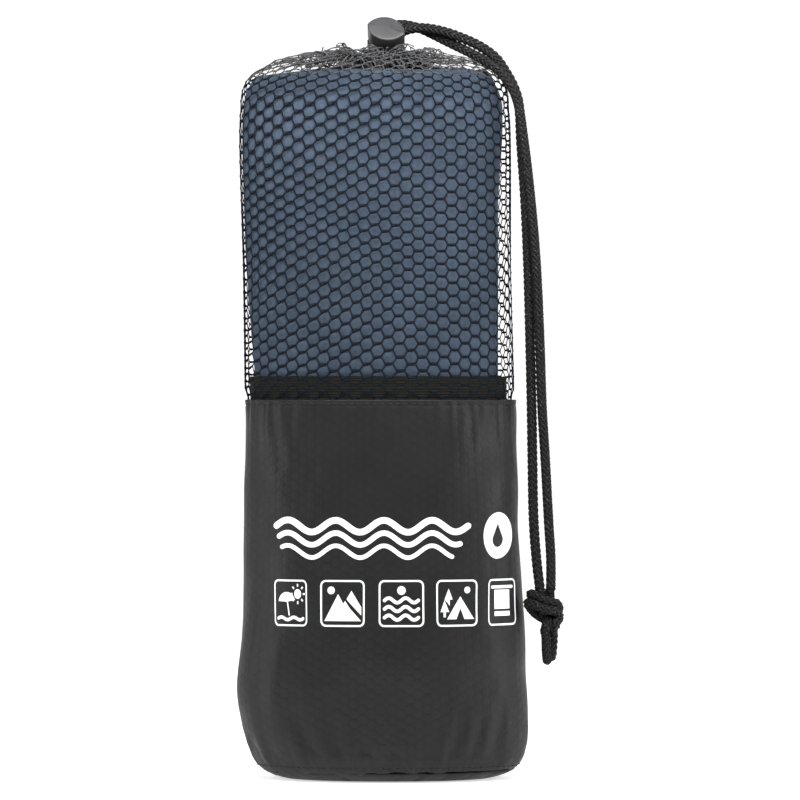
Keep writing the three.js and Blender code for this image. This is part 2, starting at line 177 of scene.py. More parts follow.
def grid_faces(rows, cols, close_rows=False, close_cols=False, flip=False):
    index = np.arange(rows * cols).reshape(rows, cols)
    if close_rows:
        index = np.vstack([index, index[:1]])
    if close_cols:
        index = np.hstack([index, index[:, :1]])
    a, b, c, d = index[:-1, :-1], index[:-1, 1:], index[1:, 1:], index[1:, :-1]
    quads = np.stack([a, b, c, d], -1).reshape(-1, 4)
    return quads[:, ::-1] if flip else quads


def barrel_faces(rows, cols):
    """The side faces of a grid closed round its columns, and a face over each end."""
    index = np.arange(rows * cols).reshape(rows, cols)
    return [grid_faces(rows, cols, close_cols=True), index[:1, ::-1], index[-1:]]


def closed_uv(uv, around):
    """The uv of each face corner on a grid closed both ways, unbroken over its last column."""
    full = np.concatenate([uv, uv[:1]], 0)
    last = full[:, :1].copy()
    last[..., 0] += around
    full = np.concatenate([full, last], 1)
    parts = [full[:-1, :-1], full[:-1, 1:], full[1:, 1:], full[1:, :-1]]
    return np.stack(parts, 2).reshape(-1, 2)


def tubes(points, normals, width, thick, sides):
    """Many round-sided rods at once: points and normals are (rods, steps, 3)."""
    points = np.asarray(points, float)
    rods, steps, _ = points.shape
    width = np.broadcast_to(np.asarray(width, float), (rods, steps))
    thick = np.broadcast_to(np.asarray(thick, float), (rods, steps))
    tangent = unit(np.gradient(points, axis=1))
    across = unit(np.cross(tangent, normals))
    up = np.cross(across, tangent)
    angle = TAU * np.arange(sides) / sides
    ring = (
        points[:, :, None]
        + across[:, :, None] * (width[..., None] * np.cos(angle))[..., None]
        + up[:, :, None] * (thick[..., None] * np.sin(angle))[..., None]
    )
    index = np.arange(rods * steps * sides).reshape(rods, steps, sides)
    a = index[:, :-1]
    b = np.roll(a, -1, axis=2)
    d = index[:, 1:]
    c = np.roll(d, -1, axis=2)
    faces = [np.stack([a, d, c, b], -1).reshape(-1, 4)]
    faces += [index[:, 0], index[:, -1, ::-1]]
    run = np.cumsum(
        np.concatenate(
            [np.zeros((rods, 1)), np.linalg.norm(np.diff(points, axis=1), axis=2)], 1
        ),
        1,
    )
    uv = np.zeros((rods, steps, sides, 2))
    uv[..., 0] = run[..., None]
    uv[..., 1] = np.arange(sides) / sides
    return ring.reshape(-1, 3), faces, uv.reshape(-1, 2)


def joined(parts):
    """Several (verts, faces, uv) as one."""
    verts, faces, uvs, offset = [], [], [], 0
    for v, f, u in parts:
        verts.append(v)
        faces += [g + offset for g in f]
        uvs.append(u)
        offset += len(v)
    return np.concatenate(verts), faces, np.concatenate(uvs)


# ------------------------------------------------------------------ camera and light

scene = bpy.context.scene
scene.view_settings.view_transform = "Standard"

PICTURE_CENTRE = (6.8, 147.8)  # x and z on the object at the middle of the picture
PICTURE_WIDTH = 312.0
CAMERA_DISTANCE = 1500.0
FRONT_Y = -6.0

camera_data = bpy.data.cameras.new("camera")
camera = bpy.data.objects.new("camera", camera_data)
scene.collection.objects.link(camera)
camera_data.sensor_width = 36
camera_data.lens = 36 * CAMERA_DISTANCE / PICTURE_WIDTH
camera_data.clip_start, camera_data.clip_end = 0.05, 30
camera.location = (
    PICTURE_CENTRE[0] * MM,
    (FRONT_Y - CAMERA_DISTANCE) * MM,
    PICTURE_CENTRE[1] * MM,
)
camera.rotation_euler = (math.pi / 2, 0, 0)
scene.camera = camera


def area_light(name, at, aim, size, power):
    data = bpy.data.lights.new(name, "AREA")
    data.shape = "RECTANGLE"
    data.size, data.size_y = size
    data.energy = power
    light = bpy.data.objects.new(name, data)
    scene.collection.objects.link(light)
    light.location = at
    light.rotation_euler = (Vector(aim) - Vector(at)).to_track_quat("-Z", "Y").to_euler()


area_light("softbox_left", (-1.0, -0.3, 0.45), (0, 0, 0.15), (0.4, 1.0), 7)
area_light("softbox_right", (1.0, -0.3, 0.45), (0, 0, 0.15), (0.4, 1.0), 8)
area_light("softbox_top", (0.02, -0.2, 0.43), (0, 0, 0.26), (0.35, 0.2), 2.4)

world = bpy.data.worlds.new("studio")
scene.world = world
world.use_nodes = True
world.node_tree.nodes["Background"].inputs["Color"].default_value = (1, 1, 1, 1)
world.node_tree.nodes["Background"].inputs["Strength"].default_value = 0.1

# ------------------------------------------------------------------ materials


class Nodes:
    """A Principled material and short ways to wire its node tree."""

    def __init__(self, name, color, roughness, **sockets):
        self.material = bpy.data.materials.new(name)
        self.material.use_nodes = True
        self.tree = self.material.node_tree
        self.shader = self.tree.nodes["Principled BSDF"]
        self.set("Base Color", (*color, 1))
        self.set("Roughness", roughness)
        for key, value in sockets.items():
            self.set(key.replace("_", " "), value)

    def set(self, socket, value):
        self.shader.inputs[socket].default_value = value

    def node(self, kind, **settings):
        node = self.tree.nodes.new(kind)
        for key, value in settings.items():
            setattr(node, key, value)
        return node

    def wire(self, value, socket):
        if isinstance(value, bpy.types.NodeSocket):
            self.tree.links.new(value, socket)
        else:
            socket.default_value = value

    def math(self, operation, a, b=0.0):
        node = self.node("ShaderNodeMath", operation=operation)
        self.wire(a, node.inputs[0])
        self.wire(b, node.inputs[1])
        return node.outputs[0]

    def vector(self, operation, a, b=(0, 0, 0), out=0):
        node = self.node("ShaderNodeVectorMath", operation=operation)
        self.wire(a, node.inputs[0])
        self.wire(b, node.inputs[1])
        return node.outputs[out]

    def base(self, value):
        self.wire(value, self.shader.inputs["Base Color"])

    def roughness(self, value):
        self.wire(value, self.shader.inputs["Roughness"])

    def summed(self, a, share_a, b, share_b):
        parts = self.math("MULTIPLY", a, share_a), self.math("MULTIPLY", b, share_b)
        return self.math("ADD", *parts)

    def bands(self, direction, where, scale):
        node = self.node("ShaderNodeTexWave", wave_type="BANDS", bands_direction=direction)
        self.wire(where, node.inputs["Vector"])
        node.inputs["Scale"].default_value = scale
        return node.outputs["Fac"]

    def coordinates(self):
        return self.node("ShaderNodeTexCoord").outputs["Object"]

    def cloth(self):
        return self.node("ShaderNodeUVMap", uv_map="cloth").outputs["UV"]

    def noise(self, where, per_metre, detail=3.0, roughness=0.55):
        node = self.node("ShaderNodeTexNoise")
        self.wire(where, node.inputs["Vector"])
        node.inputs["Scale"].default_value = per_metre
        node.inputs["Detail"].default_value = detail
        node.inputs["Roughness"].default_value = roughness
        return node.outputs["Fac"]

    def blend(self, share, a, b):
        node = self.node("ShaderNodeMix", data_type="RGBA")
        self.wire(share, node.inputs["Factor"])
        self.wire(a if isinstance(a, bpy.types.NodeSocket) else (*a, 1), node.inputs[6])
        self.wire(b if isinstance(b, bpy.types.NodeSocket) else (*b, 1), node.inputs[7])
        return node.outputs[2]

    def range(self, value, low, high, to_low=0.0, to_high=1.0):
        node = self.node("ShaderNodeMapRange", interpolation_type="SMOOTHSTEP")
        self.wire(value, node.inputs["Value"])
        for key, number in zip(
            ("From Min", "From Max", "To Min", "To Max"), (low, high, to_low, to_high)
        ):
            node.inputs[key].default_value = number
        return node.outputs["Result"]

    def bump(self, layers):
        """layers are (height, distance in metres), from the coarsest to the finest."""
        normal = None
        for height, distance in layers:
            node = self.node("ShaderNodeBump")
            node.inputs["Strength"].default_value = 1
            node.inputs["Distance"].default_value = distance
            self.wire(height, node.inputs["Height"])
            if normal is not None:
                self.wire(normal, node.inputs["Normal"])
            normal = node.outputs["Normal"]
        self.wire(normal, self.shader.inputs["Normal"])

    def cell_edges(self, where, across, high):
        """0 in the middle of a cell to 1 at its level sides, and the same for its slanting
        sides. The cells have level tops and a column is half of across wide."""
        cell = (across, high, 1.0)
        half = (across / 2, high / 2, 0.0)
        first = self.vector("SUBTRACT", self.vector("MODULO", where, cell), half)
        moved = self.vector("ADD", where, half)
        second = self.vector("SUBTRACT", self.vector("MODULO", moved, cell), half)
        share = self.math(
            "LESS_THAN",
            self.vector("LENGTH", first, out=1),
            self.vector("LENGTH", second, out=1),
        )
        node = self.node("ShaderNodeMix", data_type="VECTOR")
        self.wire(share, node.inputs["Factor"])
        self.wire(second, node.inputs[4])
        self.wire(first, node.inputs[5])
        near = self.vector("ABSOLUTE", node.outputs[1])
        level = self.vector("DOT_PRODUCT", near, (0, 2 / high, 0), out=1)
        slant = self.vector("DOT_PRODUCT", near, (3 / across, 1 / high, 0), out=1)
        return level, slant


def tint(color, share):
    return tuple(share * c for c in color)


def nylon_material(name, color):
    m = Nodes(name, color, 0.5, Specular_IOR_Level=0.24)
    where, uv = m.coordinates(), m.cloth()
    level, slant = m.cell_edges(uv, 6.6, 3.9)
    edge = m.range(m.math("MAXIMUM", level, slant), 0.5, 1.0)
    cloud = m.noise(where, 55, 4)
    tone = m.math("MINIMUM", m.summed(edge, 0.34, cloud, 0.7), 1.0)
    m.base(m.blend(tone, tint(color, 1.22), tint(color, 0.74)))
    m.roughness(m.range(cloud, 0.25, 0.75, 0.4, 0.56))
    weave = m.math("ADD", m.bands("X", uv, 0.75), m.bands("Y", uv, 0.75))
    m.bump([(edge, -0.000055), (weave, 0.000012), (m.noise(where, 2600, 2), 0.00002)])
    return m.material


def net_material(name, color):
    m = Nodes(name, color, 0.75, Specular_IOR_Level=0.05)
    twist = m.bands("DIAGONAL", m.cloth(), 1.1)
    tone = m.math("ADD", m.math("MULTIPLY", twist, 0.5), m.noise(m.coordinates(), 900))
    m.base(m.blend(m.math("MULTIPLY", tone, 0.66), tint(color, 0.6), tint(color, 1.5)))
    m.bump([(twist, 0.00008)])
    return m.material


def cord_material(name, color, glint_tint):
    m = Nodes(name, color, 0.6, Specular_IOR_Level=0.2)
    where = m.coordinates()
    strands = m.bands("Y", m.cloth(), 1.6)
    fibres = m.noise(where, 2400, 2)
    # Pale flecks over the braid: painted glints, standing in for tiny highlights on its yarns.
    painted_glints = m.range(m.noise(where, 1500, 1), 0.66, 0.74)
    tone = m.summed(fibres, 0.8, strands, 0.3)
    m.base(m.blend(painted_glints, m.blend(tone, tint(color, 0.55), tint(color, 1.5)), glint_tint))
    m.bump([(strands, 0.00006), (fibres, 0.00005)])
    return m.material


def towel_material(name, color):
    m = Nodes(name, color, 0.95, Sheen_Weight=0.03, Sheen_Roughness=0.5)
    m.set("Sheen Tint", (0.72, 0.82, 1, 1))
    m.set("Specular IOR Level", 0.08)
    where = m.coordinates()
    nap = m.noise(where, 520, 3, 0.6)
    tone = m.range(m.summed(m.noise(where, 38, 3), 0.45, nap, 0.55), 0.32, 0.68)
    shade = m.blend(tone, tint(color, 0.82), tint(color, 1.22))
    level, slant = m.cell_edges(m.cloth(), 2.0, 1.0)
    # Along the net's yarn lines the towel gets a real groove in the bump and, in its base colour,
    # painted shade where the yarns would shadow it.
    yarn_groove_and_shade = m.math("MAXIMUM", m.range(level, 0.6, 0.95), m.range(slant, 0.7, 1.0, 0, 0.8))
    m.base(m.blend(yarn_groove_and_shade, shade, tint(color, 0.36)))
    m.bump([(yarn_groove_and_shade, -0.0005), (nap, 0.00022), (m.noise(where, 3000, 2), 0.00006)])
    return m.material


def elastic_material(name, color):
    m = Nodes(name, color, 0.8, Specular_IOR_Level=0.12)
    ribs = m.bands("Y", m.cloth(), 0.3)
    grain = m.noise(m.coordinates(), 1500, 2)
    m.base(m.blend(m.summed(ribs, 0.5, grain, 0.5), tint(color, 0.55), tint(color, 1.6)))
    m.bump([(ribs, 0.0002), (grain, 0.00005)])
    return m.material


def plastic_material(name, color, roughness):
    m = Nodes(name, color, roughness)
    where = m.coordinates()
    scuff = m.noise(where, 160, 4, 0.65)
    m.base(m.blend(scuff, tint(color, 0.85), tint(color, 1.2)))
    m.roughness(m.range(scuff, 0.3, 0.75, roughness - 0.06, roughness + 0.1))
    m.bump([(m.noise(where, 3500, 2), 0.000018)])
    return m.material


def ink_material(name, color):
    m = Nodes(name, color, 0.55)
    where = m.coordinates()
    wear = m.range(m.noise(where, 240, 4, 0.6), 0.3, 0.8)
    m.base(m.blend(wear, color, tint(color, 0.88)))
    m.bump([(m.noise(where, 1800, 2), 0.00002)])
    return m.material


def steel_material(name):
    m = Nodes(name, (0.55, 0.56, 0.58), 0.3, Metallic=1.0)
    scratches = m.noise(m.coordinates(), 1200, 3)
    m.roughness(m.range(scratches, 0.3, 0.7, 0.22, 0.4))
    m.bump([(scratches, 0.00001)])
    return m.material


NYLON = nylon_material("nylon_honeycomb", (0.0072, 0.0072, 0.0074))
NYLON_DARK = nylon_material("nylon_inside", (0.03, 0.03, 0.032))
NET = net_material("net_yarn", (0.005, 0.0068, 0.011))
# The same black yarn as NET, painted much lighter: a painted highlight for the crown's yarns where
# the top light falls.
NET_PAINTED_HIGHLIGHT = net_material("net_yarn_painted_highlight", (0.07, 0.07, 0.072))
CORD = cord_material("cord_braid", (0.006, 0.006, 0.0066), (0.09, 0.09, 0.09))
THREAD = cord_material("sewing_thread", (0.02, 0.02, 0.022), (0.05, 0.05, 0.05))
TOWEL = towel_material("towel_microfibre", (0.049, 0.066, 0.093))
ELASTIC = elastic_material("elastic_web", (0.0095, 0.0095, 0.0088))
PLASTIC = plastic_material("lock_plastic_satin", (0.022, 0.022, 0.0232), 0.36)
INK = ink_material("print_white", (0.86, 0.86, 0.86))
STEEL = steel_material("spring_wire")

# ------------------------------------------------------------------ the two strands

CORD_D = 3.8
PAIR_ROUTE = [
    ((3.45, -1.95, 290), 2.1, 80),
    ((4.8, -0.7, 292), 2.15, 70),
    ((7.4, 0.4, 293.5), 2.15, 48),
    ((10.6, 0.9, 293.8), 2.05, 24),
    ((14.4, 0.6, 293.4), 2.03, 4),
    ((19, -0.6, 292.1), 2.03, -20),
    ((24.6, -2.8, 289.9), 2.03, -45),
    ((31.4, -5.4, 286.8), 2.03, -68),
    ((37.9, -7.9, 283.3), 2.03, -95),
    ((42.9, -9.9, 279.7), 2.03, -122),
    ((46.8, -11.4, 275.3), 2.03, -150),
    ((50, -12.6, 270.3), 2.03, -163),
    ((52.5, -13.2, 264), 2.03, -172),
    ((54.4, -13.4, 247.3), 2.03, -195),
    ((56.4, -13, 226.2), 2.03, -210),
    ((58, -12.4, 202.4), 2.03, -228),
    ((59.2, -11.6, 172), 2.03, -245),
    ((60, -10.8, 145), 2.05, -260),
    ((60.8, -10.2, 124.4), 2.5, -268),
    ((61.7, -9.6, 101), 2.9, -270),
    ((62.7, -9.2, 86), 2.8, -270),
    ((63.4, -9, 74), 2.1, -270),
]
# The braid: yarns each way, their pitch, step, half sizes and waviness, and how far the
# yarns and the core lie under the cord's own radius.
CARRIERS, BRAID_PITCH, YARN_STEP = 6, 13.5, 0.8
YARN_WIDE, YARN_THICK, YARN_LIFT = 0.55, 0.33, 0.26
YARN_DEEP, CORE_DEEP = 0.4, 0.62


def strand_points(side):
    per = 40
    middle = catmull([at for at, _, _ in PAIR_ROUTE], per)
    tangent = unit(np.gradient(middle, axis=0))
    out = []
    for i, (at, half, turn) in enumerate(PAIR_ROUTE):
        t = tangent[i * per]
        deep = unit(np.array([0.0, 1, 0]) - t * t[1])
        across = np.cross(t, deep)
        angle = math.radians(turn)
        way = deep * math.cos(angle) + across * math.sin(angle)
        out.append(np.array(at) + side * half * way)
    return np.array(out)


def braided(line, diameter=CORD_D, phase=0.0, taper_end=0.0):
    """A round braid on a line: two families of yarns, each over two and under two."""
    line = even(line, YARN_STEP)
    run = run_length(line)
    normal = carried_normals(line)
    tangent = unit(np.gradient(line, axis=0))
    side = np.cross(tangent, normal)
    radius = diameter / 2
    shrink = np.ones(len(line))
    if taper_end:
        left = run[-1] - run
        shrink *= np.sqrt(np.clip(1 - (1 - np.clip(left / taper_end, 0, 1)) ** 2, 0.03, 1))
    rods, ups = [], []
    for family in (1, -1):
        for k in range(CARRIERS):
            angle = family * TAU * run / BRAID_PITCH + TAU * k / CARRIERS + phase
            crossing = (2 * k + family * 2 * CARRIERS * run / BRAID_PITCH) / 4
            lift = family * YARN_LIFT * np.sin(TAU * crossing + 0.6)
            out = normal * np.cos(angle)[:, None] + side * np.sin(angle)[:, None]
            reach = (radius - YARN_DEEP + lift) * shrink
            rods.append(line + out * reach[:, None])
            ups.append(out)
    width = YARN_WIDE * shrink[None, :]
    thick = YARN_THICK * shrink[None, :]
    yarns = tubes(np.array(rods), np.array(ups), width, thick, 6)
    core_r = (radius - CORE_DEEP) * shrink
    core = tubes(line[None], normal[None], core_r, core_r, 10)
    return joined([yarns, core])


SIDES = ((-1, "left"), (1, "right"))
strands, routes = {}, {}
for side, word in SIDES:
    route = catmull(strand_points(side), 12)
    verts, faces, uv = braided(route, phase=side * 0.4)
    strands[word] = new_piece(f"drawcord_{word}_braid", verts, faces, CORD, uv)
    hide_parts(f"drawcord_strand_{word}")
    routes[word] = route

# The knot: both strands tied together in one overhand knot, and the two ends below it.
KNOT = np.array([63.4, -9.0, 65.5])
KNOT_RUN = [  # the pair's middle line from the knot's middle, and the way to its right strand
    ((0.0, 0, 8.6), (1, 0.1, 0)),
    ((0.2, 0.3, 5.0), (1, 0.3, 0)),
    ((0.6, 1.0, 0.5), (0.8, 0.6, 0.2)),
    ((2.6, 2.6, -2.8), (0.2, 0.6, 0.8)),
    ((5.0, 1.2, -1.6), (0, 0.5, 1)),
    ((4.4, -2.6, 1.6), (0, 0.5, 0.9)),
    ((0.2, -4.0, 2.6), (0.1, 0.5, 1)),
    ((-4.4, -2.4, 4.6), (0.3, 0.3, 0.8)),
    ((-6.2, 0.8, 5.0), (0.3, 0.1, 1)),
    ((-3.0, 3.4, 0.6), (0.4, 0.1, 0.9)),
    ((1.6, 3.4, -2.4), (0.5, 0.1, 0.9)),
    ((3.8, 0.4, -4.0), (0.8, 0, 0.6)),
    ((2.6, -2.6, -4.2), (0.9, 0.2, 0.3)),
    ((1.4, -1.2, -6.8), (1, 0.3, 0.1)),
    ((1.6, 0, -9.0), (1, 0.8, 0)),
]
ROUTE_STEP = 3.0
TAIL_DROP = 11.1
KNOT_GAP, KNOT_CORD = 1.75, 3.6


def knot_lines(side):
    middle = catmull([p for p, _ in KNOT_RUN], 10)
    way = catmull([w for _, w in KNOT_RUN], 10)
    tangent = unit(np.gradient(middle, axis=0))
    way = unit(way - tangent * (way * tangent).sum(1, keepdims=True))
    return KNOT + middle + side * KNOT_GAP * way


knot_parts, tails = [], {}
for side, word in SIDES:
    line = knot_lines(side)
    knot_parts.append(braided(line, KNOT_CORD, phase=1.3 * side))
    low = line[-1]
    bottom = low + np.array([-0.1 - 0.75 * side, 0.0, -TAIL_DROP])
    tail = catmull([line[-6], low, mix(low, bottom, 0.5) + [0.15 * side, 0, 0], bottom], 12)
    verts, faces, uv = braided(tail[8:], phase=0.8 * side, taper_end=2.2)
    tails[word] = new_piece(f"drawcord_{word}_end", verts, faces, CORD, uv)
    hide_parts(f"drawcord_tail_{word}")
verts, faces, uv = joined(knot_parts)
knot = new_piece("drawcord_overhand_knot", verts, faces, CORD, uv)
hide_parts("drawcord_knot")

for word, strand in strands.items():
    path = [[float(c) for c in p * MM] for p in even(routes[word], ROUTE_STEP)]
    float(run_length(routes[word])[-1] * MM)

# ------------------------------------------------------------------ the pouch's surface

POWER = 2 / 2.2
LEVELS = np.array([
    (0, -40, 44, 20), (3.5, -47, 52, 25.5), (6, -49.8, 54.2, 26.6), (9, -51.8, 55.8, 27.5),
    (14, -54.1, 57.2, 28.3), (20, -56, 57.9, 28.7), (30, -57.2, 57.8, 29), (42, -56.9, 56.9, 29.3),
    (60, -55.6, 55.5, 29.5), (120, -54.2, 53.2, 29), (148, -54.3, 52, 28.2),
    (200, -55, 50.6, 27.2), (245, -56.5, 50.6, 27), (262, -56.5, 50.3, 26.4),
    (271, -54.6, 48, 25),
])
POCKET_TOP = 148.0
SHOULDER = 271.0
BASE_SEAM = 4.0


def eased_levels():
    z = np.arange(0, SHOULDER + 0.5, 0.5)
    reach = 12
    weights = np.exp(-0.5 * (np.arange(-3 * reach, 3 * reach + 1) / reach) ** 2)
    weights /= weights.sum()
    out = [z]
    for column in (1, 2, 3):
        raw = np.interp(z, LEVELS[:, 0], LEVELS[:, column])
        padded = np.pad(raw, 3 * reach, mode="reflect", reflect_type="odd")
        soft = np.convolve(padded, weights, "valid")
        keep = smooth(z, 14, 28)
        out.append(raw * (1 - keep) + soft * keep)
    return np.array(out)


EASED = eased_levels()
AROUND = 1440


def superellipse(left, right, half_depth, angle):
    c, s = np.cos(angle), np.sin(angle)
    x = (left + right) / 2 + (right - left) / 2 * np.sign(c) * np.abs(c) ** POWER
    y = half_depth * np.sign(s) * np.abs(s) ** POWER
    return x, y


def build_table():
    """x and y of the pouch by height and by share of the way round from the front."""
    angle = np.linspace(-TAU / 4, TAU * 3 / 4, 2881)
    rows = []
    length = []
    for z, left, right, deep in EASED.T:
        x, y = superellipse(left, right, deep, angle)
        run = np.concatenate([[0], np.cumsum(np.hypot(np.diff(x), np.diff(y)))])
        at = np.linspace(0, run[-1], AROUND + 1)
        rows.append(np.stack([np.interp(at, run, x), np.interp(at, run, y)], -1))
        length.append(run[-1])
    return np.array(rows), np.array(length)


TABLE, GIRTH = build_table()


def from_front(s):
    """A share of the way round, counted from the front: below 0 on the left side."""
    return (np.asarray(s) + 0.5) % 1.0 - 0.5


def skin(s, z, inset=0.0):
    """A point on the pouch's outside, moved in by inset. s is 0 at the front, 0.25 right."""
    s, z = np.broadcast_arrays(np.asarray(s, float) % 1.0, np.asarray(z, float))
    inset = np.broadcast_to(np.asarray(inset, float), s.shape)
    row = np.clip(z / 0.5, 0, len(TABLE) - 1.001)
    col = s * AROUND
    i, j = row.astype(int), np.minimum(col.astype(int), AROUND - 1)
    fi, fj = (row - i)[..., None], (col - j)[..., None]
    p = mix(
        mix(TABLE[i, j], TABLE[i, j + 1], fj),
        mix(TABLE[i + 1, j], TABLE[i + 1, j + 1], fj),
        fi,
    )
    run = TABLE[i, (j + 6) % AROUND] - TABLE[i, (j - 6) % AROUND]
    out = unit(np.stack([run[..., 1], -run[..., 0]], -1))
    flat = p - out * inset[..., None]
    return np.concatenate([flat, z[..., None]], -1), np.concatenate(
        [out, np.zeros(z.shape)[..., None]], -1
    )


def girth(z):
    return np.interp(z, EASED[0], GIRTH)


def front_share(x, z):
    """The share of the way round at which the front of the pouch has this x."""
    x, z = np.broadcast_arrays(np.asarray(x, float), np.asarray(z, float))
    level = np.clip((z / 0.5).astype(int), 0, len(TABLE) - 1)
    out = np.zeros(x.shape)
    left, right = AROUND * 3 // 4, AROUND // 4 + 1
    ss = np.concatenate([np.arange(left, AROUND) / AROUND - 1, np.arange(right) / AROUND])
    for k in np.unique(level):
        pick = level == k
        xs = np.concatenate([TABLE[k, left:AROUND, 0], TABLE[k, :right, 0]])
        out[pick] = np.interp(x[pick], xs, ss)
    return out


# ------------------------------------------------------------------ nylon pocket

ROUND = float(girth(80))  # the girth that the cloth's own pattern is measured on
broad = Ripple(3, ROUND, 42, 90, 12)
middle_waves = Ripple(5, ROUND, 16, 34, 14, 1.6)
small_waves = Ripple(8, ROUND, 5, 11, 16, 2.2)
pucker_waves = Ripple(11, ROUND, 4.5, 8, 16, 9)
bottom_waves = Ripple(14, ROUND, 6, 13, 16, 5)

# Single creases on the front: from, to (distance from the middle, height), width, depth.
CREASES = [
    ((-45, 146), (-41, 122), 2.2, 0.28),
    ((-37, 146), (-36, 131), 1.8, 0.2),
    ((-30, 9), (-33, 26), 2.6, 0.55),
    ((-22, 6), (-19, 22), 2.2, 0.4),
    ((24, 5), (29, 21), 2.4, 0.5),
    ((33, 6), (38, 24), 2.4, 0.5),
    ((43, 8), (47, 30), 2.6, 0.55),
    ((-50, 20), (-46, 62), 3.2, 0.5),
    ((46, 60), (49, 100), 3.2, 0.45),
    ((40, 146), (36, 132), 2.0, 0.18),
]


STITCH_DROP = 1.7  # the hem's stitches under its edge
HEM_BULGE, HEM_INSIDE, HEM_FOLD = 0.2, 8.0, 0.62


def cloth_lift(s, z):
    """How far the nylon stands out of its even shape, in mm."""
    a = from_front(s) * ROUND
    lift = 0.28 * broad(a, z) + 0.15 * middle_waves(a, z) + 0.03 * small_waves(a, z)
    hem = np.exp(-np.clip(POCKET_TOP - 3 - z, 0, None) / 7.0)
    side = 0.45 + 0.55 * smooth(np.abs(a + 8), 18, 40)
    lift = lift + 0.2 * hem * side * pucker_waves(a, z)
    foot = np.exp(-np.clip(z - BASE_SEAM, 0, None) / 9.0)
    lift = lift + 0.6 * foot * bottom_waves(a, z) - 0.3 * foot
    for start, stop, width, depth in CREASES:
        start, stop = np.array(start, float), np.array(stop, float)
        way = stop - start
        share = np.clip(((a - start[0]) * way[0] + (z - start[1]) * way[1]) / way.dot(way), 0, 1)
        away = np.hypot(a - start[0] - share * way[0], z - start[1] - share * way[1])
        ends = 0.35 + 0.65 * np.sin(math.pi * np.clip(share, 0.08, 0.92))
        lift = lift - depth * ends * np.exp(-((away / width) ** 2))
        lift = lift + 0.45 * depth * ends * np.exp(-(((away - 1.9 * width) / width) ** 2))
    lift = np.where(z < 14, np.maximum(lift, mix(-0.25, -1, smooth(z, 9, 14))), lift)
    stitch = np.exp(-(((z - (POCKET_TOP - STITCH_DROP)) / 0.9) ** 2))
    return lift - 0.28 * stitch


def nylon_surface(s, z, extra=0.0):
    z = np.asarray(z, float)
    fade = smooth(z, BASE_SEAM, BASE_SEAM + 3)
    hem = HEM_BULGE * smooth(z, POCKET_TOP - STITCH_DROP, POCKET_TOP - 1.2)
    return skin(s, z, 0.45 - fade * cloth_lift(s, z) - hem - extra)


def build_wall():
    cols = 400
    s = np.arange(cols) / cols
    outer = np.concatenate([
        [BASE_SEAM + 0.3, BASE_SEAM + 0.8],
        np.linspace(BASE_SEAM + 1.6, 30, 24),
        np.linspace(31.2, 128, 76),
        np.linspace(129, POCKET_TOP - 0.6, 26),
    ])
    a = from_front(s) * ROUND
    tuck = 3.2 * smooth(a, -80, -60) * (1 - smooth(a, -32, 2))
    tuck = tuck + 0.25 * bottom_waves(a, np.zeros(cols))
    rows = []
    for z in outer:
        low = np.maximum(z - tuck * (1 - smooth(z, BASE_SEAM, 12)), 0.9)
        rows.append(nylon_surface(s, low, 0.3 * (1 - smooth(low, 3, 6))))
    points = [p for p, _ in rows]
    uv_v = list(outer)
    top, top_out = rows[-1]
    for turn in np.radians([35, 70, 110, 145, 180]):
        shift = -HEM_FOLD * (1 - math.cos(turn))
        lifted = top + top_out * shift
        lifted[:, 2] += HEM_FOLD * math.sin(turn)
        points.append(lifted)
        uv_v.append(POCKET_TOP + HEM_FOLD * turn)
    inner = [POCKET_TOP - 2.6, POCKET_TOP - 5, POCKET_TOP - HEM_INSIDE]
    for z in inner:
        points.append(nylon_surface(s, np.full(cols, z), -1.3)[0])
        uv_v.append(2 * POCKET_TOP - z)
    points.append(nylon_surface(s, np.full(cols, POCKET_TOP - HEM_INSIDE - 0.3), -1.0)[0])
    uv_v.append(2 * POCKET_TOP - inner[-1])
    for z in np.linspace(POCKET_TOP - HEM_INSIDE - 1, BASE_SEAM + 6, 20):
        points.append(nylon_surface(s, np.full(cols, z), -0.8)[0])
        uv_v.append(z)
    for z in (BASE_SEAM + 1.4, BASE_SEAM + 0.3):
        points.append(nylon_surface(s, np.full(cols, z), -0.6)[0])
        uv_v.append(z)
    points = np.array(points)
    uv = np.zeros(points.shape[:2] + (2,))
    uv[..., 0] = s * ROUND
    uv[..., 1] = np.array(uv_v)[:, None]
    faces = [grid_faces(len(points), cols, close_rows=True, close_cols=True)]
    verts, loops = points.reshape(-1, 3), closed_uv(uv, ROUND)
    wall = new_piece("nylon_pocket_cloth", verts, faces, NYLON, loops)
    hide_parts("pocket_wall", "pocket_hem")


BASE_MIDDLE = np.array([2.0, 0.0])


